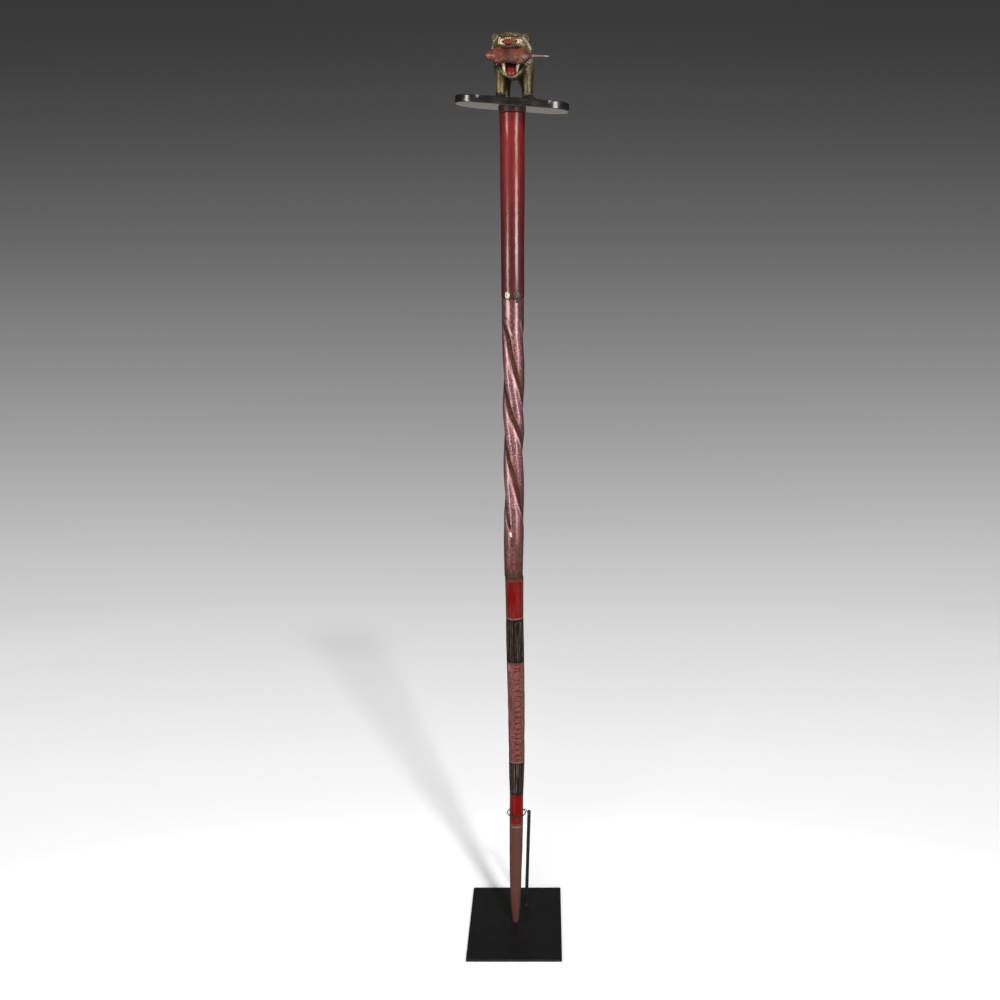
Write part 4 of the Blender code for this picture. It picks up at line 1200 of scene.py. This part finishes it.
def maskFace(piece, points, s):
    # Soft fields for the painter: each is 1 in the middle of its patch and 0.5 at its edge.
    x, y, z = points.T

    def spot(cx, cz, wide, high):
        return soft((((x - cx) / wide) ** 2 + ((z - cz) / high) ** 2) ** 1.5)

    def trace(*stations):
        # Distance in the front view, X and Z, to a smooth line through stations.
        return nearLine(points * (1, 0, 1), [(cx, 0, cz) for cx, cz in stations])

    def crosswise(centre, inner, outer):
        # 1 within inner of the centre line, 0 beyond outer.
        return ramp(outer, inner, np.abs(x - centre))

    teeth = 0.5 + 0.5 * np.cos(2 * pi * (x + 0.6) / 3.7)
    ruffLines = np.minimum(trace((-17.6, 88.2), (-22.2, 82.6), (-25.2, 77.5), (-25.6, 73.5)) / 2.2,
                           trace((22.4, 86.0), (27.6, 80.4), (33.6, 72.5)) / 2.5)
    rims = np.minimum(nearLine(points, [(-17.8, -27.5, 54.5), (-12.0, -41, 40.5), (-3.5, -48.5, 33.4)]),
                      nearLine(points, [(27.7, -27.0, 55), (20.8, -41, 40.5), (13.0, -48.5, 33.4)]))
    throat = ramp(1.5, -1.5, ovoidField(points, (4.6, -34, 52), (17.5, 17, 15.5)))
    gap = ramp(0.5, -2.0, ovoidField(points, (2.5, -47, 66), (19, 12, 6.5)))
    ears = np.minimum(*(ovoidField(points, *shape) for shape in s["ears"]))
    giveMasks(piece, crown=ramp(86.0, 89.0, z) * ramp(-20, -28, y) * crosswise(3, 22, 27),
              rightLeg=ramp(17, 23, x) * ramp(48, 36, z),
              creamFace=np.maximum(spot(-12.4, 79.9, 2.7, 5.4), spot(16.4, 79.6, 5.2, 3.7))
              * ramp(-34, -38, y),
              browBand=bump(z, 86.2, 1.2) * crosswise(1, 14, 17) * ramp(-34, -38, y),
              lipBand=bump(z, 70.5, 3.6) * crosswise(2.5, 17, 22) * ramp(-42, -46, y),
              ruffLine=bump(ruffLines, 0, 1) * ramp(-14, -20, y), rimLine=bump(rims, 0, 1.5),
              mouth=np.maximum(throat, gap), paw=1 - ramp(4.0, 9.0, overBoard(points)),
              # Painted highlight: the shoulder mask is a pale grey streak on the shoulder at the viewer's
              # right.
              shoulder=bump(trace((36.5, 58.5), (33.5, 54.5), (31.5, 52.5)), 0, 2.4) * ramp(-10, -16, y),
              zigzag=bump(z, 81.8 + 1.6 * teeth, 1.4) * crosswise(-4, 9.0, 10.6) * ramp(-36, -40, y)
              * (0.35 + 0.65 * teeth),
              orange=spot(9.4, 82.2, 2.6, 2.8) * (y < -34),
              strip=bump(trace((-13.5, 75.4), (-9, 74.6), (-5, 74.2)), 0, 1.5) * ramp(-36, -40, y),
              dotted=crosswise(19, 5.5, 7.5) * ramp(3.2, 2.2, np.abs(z - 76)) * ramp(-30, -34, y),
              ear=ramp(3.0, 0.0, ears) * ramp(14.5, 17.5, np.abs(x - 3)))


def paintLeopard(s):
    # Olive-gold gloss; the face is picked out in cream and dark brown, and the paws and mouth are dark.
    p = Paint("oliveGloss", s, {"IOR": 1.5, "Coat Roughness": 0.28, "Specular IOR Level": 0.4})
    cloud = p.noise(60, 5)
    fine = p.noise(450, 4)
    p.start(cloud.ramp(0.38, 0.64), "olive", "gold")
    p.over(p.brush(420, 7).ramp(0.56, 0.32, 0, 0.4), "dark")
    p.over(p.specks(105, 0.24, 0.34).ramp(0.1, 0.4) * 0.5, "dark")
    # Painted shade: the leg on the viewer's right, the leopard's left, is darker.
    p.over(p.mask("rightLeg") * 0.42, "dark")
    p.over(p.mask("ear") * fine.ramp(0.35, 0.6, 0.15, 0.7), "dark")
    crown = p.ragged("crown", 200, 0.3, 0.5, 0.08)
    p.over(crown * fine.ramp(0.58, 0.44, 0.15, 0.85), "dark")
    flecks = p.specks(360, 0.52, 0.72).ramp(0.15, 0.45) * crown * 0.8
    p.over(flecks, p.blend(fine.ramp(0.4, 0.6), "lime", "cream"))
    dots = p.blend(p.noise(620, 1).ramp(0.5, 0.57), "dark", "cream")
    throat = p.blend(cloud.ramp(0.5, 0.6), "maroon", "slate")
    # The shoulder patch is a painted highlight, not paint of the carving.
    patches = (
        ("creamFace", 1, "cream", 340, 0.8, 0.5, 0.08), ("browBand", 1, "dark", 380, 0.4, 0.5, 0.08),
        ("lipBand", 0.92, "lip", 300, 0.3, 0.45, 0.08), ("dotted", 1, dots, 300, 0.5, 0.5, 0.08),
        ("zigzag", 1, "cream", 330, 0.9, 0.5, 0.15), ("strip", 1, "cream", 330, 0.4, 0.5, 0.08),
        ("orange", 1, "orangeRed", 330, 0.4, 0.5, 0.08), ("ruffLine", 0.85, "grey", 330, 0.45, 0.5, 0.08),
        ("rimLine", 0.7, "lime", 330, 0.4, 0.5, 0.08), ("shoulder", 0.55, "grey", 200, 0.5, 0.5, 0.3),
        ("mouth", 1, throat, 250, 0.3, 0.5, 0.08), ("paw", 1, "pawBlack", 200, 0.35, 0.5, 0.08))
    for name, share, tone, scale, wander, level, softness in patches:
        region = p.ragged(name, scale, wander, level, softness)
        p.over(region if share == 1 else region * share, tone)
    lips = p.mask("lipBand")
    roughness = fine.ramp(0.3, 0.7, 0.34, 0.5) + lips * 0.3
    return p.finish(roughness, fine, 0.18, 0.0003, lips.ramp(0.6, 0, 0, 0.25))


dress(makeLeopard(leopard), paintLeopard(leopard), "leopard_paint", "leopard_finial")


def placed(name, shapes):
    # Shapes given in the leopard's millimetres, as one mesh in its place.
    points, faces = joinShapes(shapes)
    return makeMesh(name, fromLeopard(points), faces)


def makeEyes(s):
    # Two balls set in their sockets; the pupil is a mask about a line straight out of the eye.
    balls, masks = [], []
    for centre, pupil in zip(s["eyes"], s["pupils"]):
        points, faces = ovoid(np.array(centre) + (0, 0.8, 0), s["eyeSize"], rows=40, columns=60)
        balls.append((points, faces))
        away = np.hypot(points[:, 0] - pupil[0], (points[:, 2] - pupil[1]) * 0.85)
        masks.append(soft((away / s["pupilSize"]) ** 4) * (points[:, 1] < centre[1]))
    piece = placed("leopardEyes", balls)
    giveMasks(piece, pupil=np.concatenate(masks))
    return piece


def paintCream(name, s, lay):
    # Cream gloss with the colours that lay gives it.
    p = Paint(name, s, {"IOR": 1.5, "Coat Weight": 0.2, "Coat Roughness": 0.25})
    fine = p.noise(500, 4)
    lay(p, fine)
    return p.finish(fine.ramp(0.3, 0.7, 0.36, 0.48), fine, 0.2, 0.0002)


def layEyes(p, fine):
    # Yellow in places, with a dark red-brown pupil.
    p.start(fine.ramp(0.45, 0.7, 0, 0.6), "cream", "gold")
    p.over(p.ragged("pupil", 700, 0.25), "maroon")


def layFangs(p, fine):
    # Brown at the gums and yellow in places.
    datum = plateTop + leopard["datum"][2]
    p.start(p.axis(2).ramp(datum + 0.048, datum + 0.056, 0, 0.6), "cream", "dark")
    p.over(fine.ramp(0.52, 0.7, 0, 0.45), "gold")


def surfaceAt(field, spots, start=-75.0, reach=60.0):
    # Walks straight back from the front until the field is 0; returns the points and their normals.
    points = np.column_stack([spots[:, 0], np.full(len(spots), start), spots[:, 1]])
    for _ in range(60):
        points[:, 1] += np.clip(field(points), 0, reach) * 0.8
    slope = np.column_stack([field(points + step) - field(points - step) for step in np.eye(3) * 0.3])
    return points, slope / np.linalg.norm(slope, axis=1, keepdims=True)


def makeBrowDots(s):
    # Small raised dabs in a zigzag along the brow, each a flat ball turned to the surface below it.
    row = np.arange(s["dotCount"])
    x = np.linspace(*s["dotSpan"], s["dotCount"])
    z = s["dotHeight"] + 1.1 * np.where(row % 2, 1, -1) + 0.35 * np.cos(5.1 * row)
    centres, normals = surfaceAt(leopardField, np.column_stack([x, z]))
    shapes = []
    for number, (centre, normal) in enumerate(zip(centres, normals)):
        radii = (1.0 + 0.15 * math.cos(3 * number), 0.55, 1.25)
        points, faces = ovoid((0, 0, 0), radii, rows=12, columns=18)
        turn = np.array(Vector(normal).to_track_quat("-Y", "Z").to_matrix())
        shapes.append((points @ turn.T + centre + 0.4 * normal, faces))
    return placed("browDots", shapes)


def makeNose(s):
    # A rounded block, a little narrower above, with a groove down its middle and two nostrils.
    centre, radii = s["nose"]
    points, faces = ovoid((0, 0, 0), radii, rows=44, columns=64)
    unit = np.abs(points / np.array(radii))
    points = points / (np.sum(unit ** 3.6, axis=1, keepdims=True) ** (1 / 3.6))
    x, y, z = points.T
    front = ramp(0, -radii[1], y)
    dent = 0.55 * bump(x, 0, 0.5) * front * ramp(2.0, -1.0, z)
    nostril = sum(bump(x, side * 3.2, 1.2) * bump(z, -1.0, 0.9) for side in (-1, 1)) * front
    points = np.column_stack([x * (1 - 0.1 * ramp(1.0, radii[2], z)), y + dent + 1.3 * nostril, z])
    piece = placed("leopardNose", [(points + np.array(centre), faces)])
    # Painted shade: the side mask darkens the nose's left side as seen from the front, and the nostril mask
    # darkens the nostrils and the groove.
    giveMasks(piece, nostril=np.maximum(nostril, dent), side=0.62 * ramp(-2.6, -4.6, x))
    return piece


def makeTongue(s):
    # A flattened limb that curves out of the mouth, with a furrow along its middle.
    points, faces = carriedRing(s["tongue"], 60, 48)
    x, y, z = points.T
    middle = np.mean([station[0] for station in s["tongue"]])
    furrow = 0.9 * bump(x, middle, 0.9) * ramp(-20, -32, y)
    points = np.column_stack([(x - middle) * 1.26 + middle, y + 0.35 * furrow, z])
    piece = placed("leopardTongue", [(points, faces)])
    # Painted shade: the furrow mask darkens the furrow and the top of the tongue, where it runs back into
    # the mouth.
    giveMasks(piece, furrow=np.maximum(0.45 * furrow, 0.8 * ramp(38.5, 44.5, z)))
    return piece


def paintRed(name, s, red, masks):
    # Clear red gloss, with painted shade in deeper red over the masks: the nose's grooves, nostrils and left
    # side, and the tongue's furrow and its top inside the mouth.
    p = Paint(name, s, {"IOR": 1.5, "Coat Weight": 0.2, "Coat Roughness": 0.25, "Specular IOR Level": 0.35})
    cloud = p.noise(260, 4)
    p.start(cloud.ramp(0.5, 0.66, 0, 0.6), red, "deepRed")
    for mask in masks:
        p.over(p.mask(mask).ramp(0.2, 0.7), "deepRed")
    return p.finish(cloud.ramp(0.3, 0.7, 0.36, 0.5), cloud, 0.2, 0.0003)


def makeFangs(s):
    # Tapering limbs, carried along their stations.
    return placed("leopardFangs", [carriedRing(fang, 40, 28) for fang in s["fangs"]])


dress(makeEyes(leopard), paintCream("eyeCream", leopard, layEyes), "leopard_paint")
dress(makeBrowDots(leopard), paintCream("fangCream", leopard, layFangs), "leopard_paint")
dress(makeNose(leopard), paintRed("noseGloss", leopard, "noseRed", ["nostril", "side"]), "leopard_paint")
dress(makeTongue(leopard), paintRed("tongueGloss", leopard, "tongueRed", ["furrow"]), "leopard_paint")
dress(makeFangs(leopard), paintCream("fangCream", leopard, layFangs), "leopard_paint")


# The small animal laid across the leopard's jaws, in the same millimetres, its head at -X

prey = {
    "voxel": 0.62, "facets": ((0.22, 81, 9), (0.08, 82, 3.2)), "waistDepth": 0.4, "mouthDepth": 0.7,
    "trunk": (((-12.5, -52, 58.6), (14, 9.4, 10.7)), ((2, -51.5, 59.0), (14, 9.2, 10.8)),
              ((17, -52, 57.8), (15.5, 9.8, 11.3))),
    "head": (((-21.5, -52, 59.0), (10.5, 7.6, 8.0)), ((-27.2, -52.6, 58.2), (7.8, 5.6, 5.7))),
    "haunch": (((17.5, -56.5, 57.5), (9.5, 6.2, 8.2)),),
    "limbs": (((-9, -60.2, 53.5, 2.6), (-14, -60.8, 51.2, 2.2), (-18.5, -59.4, 50.2, 1.7)),
              ((15, -60.6, 55.5, 3.6), (20.5, -60.8, 50.4, 2.6), (14.5, -60.4, 48.2, 2.0))),
    "ears": (((-13.2, -56.0, 67.4), (2.9, 1.7, 3.1)), ((-13.0, -47.6, 67.6), (2.9, 1.7, 3.1))),
    "tail": (((24, -52, 58, 7.5), (31, -52, 58.1, 4.6), (37, -52, 58.2, 2.3), (48, -52, 58.2, 1.5),
              (60.6, -52, 57.8, 0.9)),),
    "eye": (-24, -58.4, 62.2), "mouthLine": ((-34.8, -52.5, 58.6), (-31, -57, 58.4), (-22, -59.5, 58)),
    "brown": (0.12, 0.027, 0.02), "rust": (0.185, 0.045, 0.027), "dark": (0.026, 0.009, 0.008),
    "pink": (0.44, 0.2, 0.16), "ochre": (0.16, 0.055, 0.024), "tailTan": (0.24, 0.165, 0.14),
    "grey": (0.3, 0.3, 0.29),
}


def makePrey(s):
    # Trunk and head with wide fillets, legs and ears close against them, a waist pressed in by the jaws.
    blends = {"trunk": 4.0, "head": 3.5, "haunch": 1.2, "limbs": 1.2, "ears": 0.9, "tail": 3.0}
    parts = [(blend, s[name]) for name, blend in blends.items()]

    def preyField(points):
        # The joined shapes, less a soft waist and the line of the mouth.
        field = wholeField(points, parts) + s["waistDepth"] * bump(points[:, 0], 1.5, 3.0)
        return field + s["mouthDepth"] * bump(nearLine(points, s["mouthLine"]), 0, 0.9)

    piece = remeshed("preyAnimal", [shapes for blend, shapes in parts], s["voxel"])
    points = carve(piece, preyField)
    facets = sum(depth * fieldNoise(points, seed, size) for depth, seed, size in s["facets"])
    thin = 1 - ramp(30, 36, points[:, 0])
    points = points + (facets * thin)[:, None] * readNormals(piece.data)
    x = points[:, 0]
    giveMasks(piece, mouth=bump(nearLine(points, s["mouthLine"]), 0, 1.1), waist=bump(x, -1, 5),
              eye=soft((np.linalg.norm(points - np.array(s["eye"]), axis=1) / 1.5) ** 4),
              haunch=ramp(2.5, 0, ovoidField(points, (17, -61, 55), (9, 5, 9))),
              rump=ramp(20, 28, x) * (1 - ramp(33, 38, x)), tail=ramp(32, 40, x), tip=ramp(51, 57, x))
    writePoints(piece.data, fromLeopard(points))
    return piece


def paintPrey(s):
    # Reddish-brown gloss, black at the waist, pink along the mouth, tan to grey along the tail.
    p = Paint("preyGloss", s, {"IOR": 1.5, "Coat Weight": 0.15, "Coat Roughness": 0.3,
                               "Specular IOR Level": 0.35})
    fine = p.noise(520, 4)
    p.start(p.noise(110, 5).ramp(0.4, 0.62), "brown", "rust")
    p.over(p.mask("haunch") * 0.7, "ochre")
    p.over(fine.ramp(0.5, 0.72, 0, 0.6), "dark")
    p.over((p.mask("waist") * 0.75).most(p.mask("rump") * 0.5), "dark")
    for mask, tone, share in (("mouth", "pink", 0.75), ("tail", "tailTan", 0.75), ("tip", "grey", 0.8),
                              ("eye", "dark", 0.5)):
        p.over(p.ragged(mask, 500, 0.3) * share, tone)
    return p.finish(fine.ramp(0.3, 0.7, 0.4, 0.54), fine, 0.2, 0.0003)


dress(makePrey(prey), paintPrey(prey), "leopard_paint")


# Camera, light and backdrop

studio = {
    "place": (0.05708, -1.78305, 1.2381), "tilt": 76.6, "lens": 38.99, "shift": -0.0463,
    "suns": {"keyLight": (0.6, -1.53, 1.44, 7.0, 2.3), "fillLight": (-0.42, -1.6, 0.58, 26.0, 2.1),
             "backLight": (0.05, 1.0, 0.06, 36.0, 1.7)},
    "strips": {"strip1": (-50, 0.54, 40.0), "strip2": (40, 0.7, 54.0)},
    "stripColour": (1.0, 0.93, 0.89), "stripHeight": 2.2, "stripDistance": 1.8,
    "worldLight": 0.18, "floorLight": 0.83, "dimmedGlow": 0.35,
    "radius": 3.1, "curve": 1.1, "height": 4.2, "widening": 2.9, "side": 0.95, "columns": 128, "reach": 6.0,
    "greys": ((0.25, 1.06), (0.47, 0.965), (0.72, 0.9), (1.02, 0.818), (1.38, 0.737), (1.86, 0.638),
              (2.27, 0.553), (2.56, 0.469), (2.82, 0.393), (3.05, 0.326), (3.27, 0.268), (3.5, 0.215),
              (3.7, 0.17), (3.9, 0.132), (4.12, 0.103), (4.3, 0.079), (4.5, 0.061), (4.68, 0.047),
              (5.2, 0.035)),
    "glow": ((1.2, 0.25), (1.98, 1.0)),
    "card": (1.5, 1.1), "cardPlace": (0.0, 2.2, 0.75), "cardGlow": 0.37,
}


def placeCamera(s):
    # Looks along +Y, raised by its tilt.
    camera = addObject("camera", bpy.data.cameras.new("camera"))
    camera.location = s["place"]
    camera.rotation_euler = (math.radians(s["tilt"]), 0, 0)
    camera.data.lens = s["lens"]
    camera.data.sensor_width = 36
    camera.data.shift_x = s["shift"]
    camera.data.clip_start = 0.02
    bpy.context.scene.camera = camera
    bpy.context.scene.view_settings.view_transform = "Standard"


def placeLights(s):
    # Three suns that give no highlights, and upright strips that show only as highlights.
    for name, (x, y, z, spread, power) in s["suns"].items():
        sun = addObject(name, bpy.data.lights.new(name, "SUN"))
        sun.data.energy = power
        sun.data.angle = math.radians(spread)
        sun.rotation_euler = Vector((x, y, z)).to_track_quat("Z", "Y").to_euler()
        sun.visible_glossy = False
    for name, (bearing, width, power) in s["strips"].items():
        angle = math.radians(bearing)
        spot = Vector((math.sin(angle), -math.cos(angle), 0)) * s["stripDistance"]
        spot = spot + Vector((0, 0, s["stripHeight"] / 2))
        strip = addObject(name, bpy.data.lights.new(name, "AREA"))
        strip.data.shape = "RECTANGLE"
        strip.data.size = width
        strip.data.size_y = s["stripHeight"]
        strip.data.energy = power
        strip.data.color = s["stripColour"]
        strip.location = spot
        strip.rotation_euler = (Vector((0, 0, spot.z)) - spot).to_track_quat("-Z", "Y").to_euler()
        strip.visible_camera = strip.visible_diffuse = False
    world = bpy.data.worlds.new("softSky")
    world.use_nodes = True
    sky = world.node_tree.nodes["Background"].inputs
    sky["Color"].default_value = (1, 1, 1, 1)
    sky["Strength"].default_value = s["worldLight"]
    bpy.context.scene.world = world


def paperSheet(name, run, rise, s, material, closed):
    # A section turned about Z. Its grading follows the section's length, more slowly along X than along Y.
    columns = s["columns"]
    angle = allRound(columns)
    grid = asPoints(run[:, None] * np.cos(angle), run[:, None] * np.sin(angle), rise[:, None])
    floor = np.minimum(run, s["radius"] - s["curve"])[:, None]
    length = np.hypot(floor * np.cos(angle) / s["widening"], floor * np.sin(angle))
    if not closed:
        climb = np.concatenate([[0], np.cumsum(np.hypot(np.diff(run), np.diff(rise)))])
        length = length + climb[:, None] * (1 + s["side"] * (1 - np.abs(np.sin(angle))))
    points, faces = grid.reshape(-1, 3), gridFaces(len(run), columns)[:, ::-1].tolist()
    if closed:
        ring = np.arange(columns)
        points = np.vstack([points, (0, 0, 0)])
        faces += np.stack([np.full(columns, len(points) - 1), ring, (ring + 1) % columns], axis=-1).tolist()
    sheet = makeMesh(name, points, faces)
    giveMasks(sheet, length=length)
    sheet.data.materials.append(material)
    return sheet


def gradedCurve(p, stations, reach):
    # A float curve of the sheet's length through its stations, level before and after them.
    inner = stations[0 if stations[0][0] > 0 else 1:]
    node = p.tree.nodes.new("ShaderNodeFloatCurve")
    p.tree.links.new((p.mask("length") / reach).socket, node.inputs["Value"])
    curve = node.mapping.curves[0]
    node.mapping.clip_max_y = 2.0
    node.mapping.use_clip = True
    curve.points[0].location = (0, stations[0][1])
    curve.points[1].location = (1, stations[-1][1])
    for spot, value in inner:
        curve.points.new(spot / reach, value)
    for point in curve.points:
        point.handle_type = "AUTO_CLAMPED"
    node.mapping.update()
    return Signal(node.outputs[0])


def makeBackdrop(s):
    # A bowl: flat floor, a quarter circle, then a wall. Away from the middle it glows by its grey and stays
    # even; near the middle it shows soft shadows.
    p = Paint("seamlessPaper", s, {"Roughness": 1.0, "Specular IOR Level": 0.0,
                                   "Emission Color": (1, 1, 1, 1)})
    grey, glow = (gradedCurve(p, s[name], s["reach"]) for name in ("greys", "glow"))
    p.link("Base Color", grey * (1.0 - glow) / s["floorLight"])
    seen = addNode("LightPath", {}, p.tree)[0]
    p.link("Emission Strength", grey * (glow * seen.ramp(0.0, 1.0, s["dimmedGlow"], 1.0)))
    flat, curve = s["radius"] - s["curve"], s["curve"]
    paperSheet("floorPaper", np.linspace(0.02, flat, 40), np.zeros(40), s, p.material, closed=True)
    bend = np.linspace(0, pi / 2, 30)
    run = np.concatenate([flat + curve * np.sin(bend), np.full(20, s["radius"])])
    rise = np.concatenate([curve * (1 - np.cos(bend)), np.linspace(curve, s["height"], 21)[1:]])
    wall = paperSheet("wallPaper", run, rise, s, p.material, closed=False)
    wall.visible_shadow = False


def makeCard(s):
    # A glowing card behind, seen only in reflections: it lights the underside of the board.
    wide, high = s["card"]
    x, y, z = s["cardPlace"]
    corners = [(x + right * wide / 2, y, z + up * high / 2)
               for right, up in ((-1, -1), (1, -1), (1, 1), (-1, 1))]
    card = makeMesh("reflectionCard", corners, [(0, 1, 2, 3)])
    card.visible_camera = card.visible_diffuse = card.visible_shadow = False
    card.visible_transmission = card.visible_volume_scatter = False
    p = Paint("cardGlow", s, {"Base Color": (0, 0, 0, 1), "Specular IOR Level": 0,
                              "Emission Color": (1, 0.91, 0.84, 1), "Emission Strength": s["cardGlow"]})
    card.data.materials.append(p.material)


placeCamera(studio)
placeLights(studio)
makeBackdrop(studio)
makeCard(studio)
print("camera, lights and backdrop are in place")
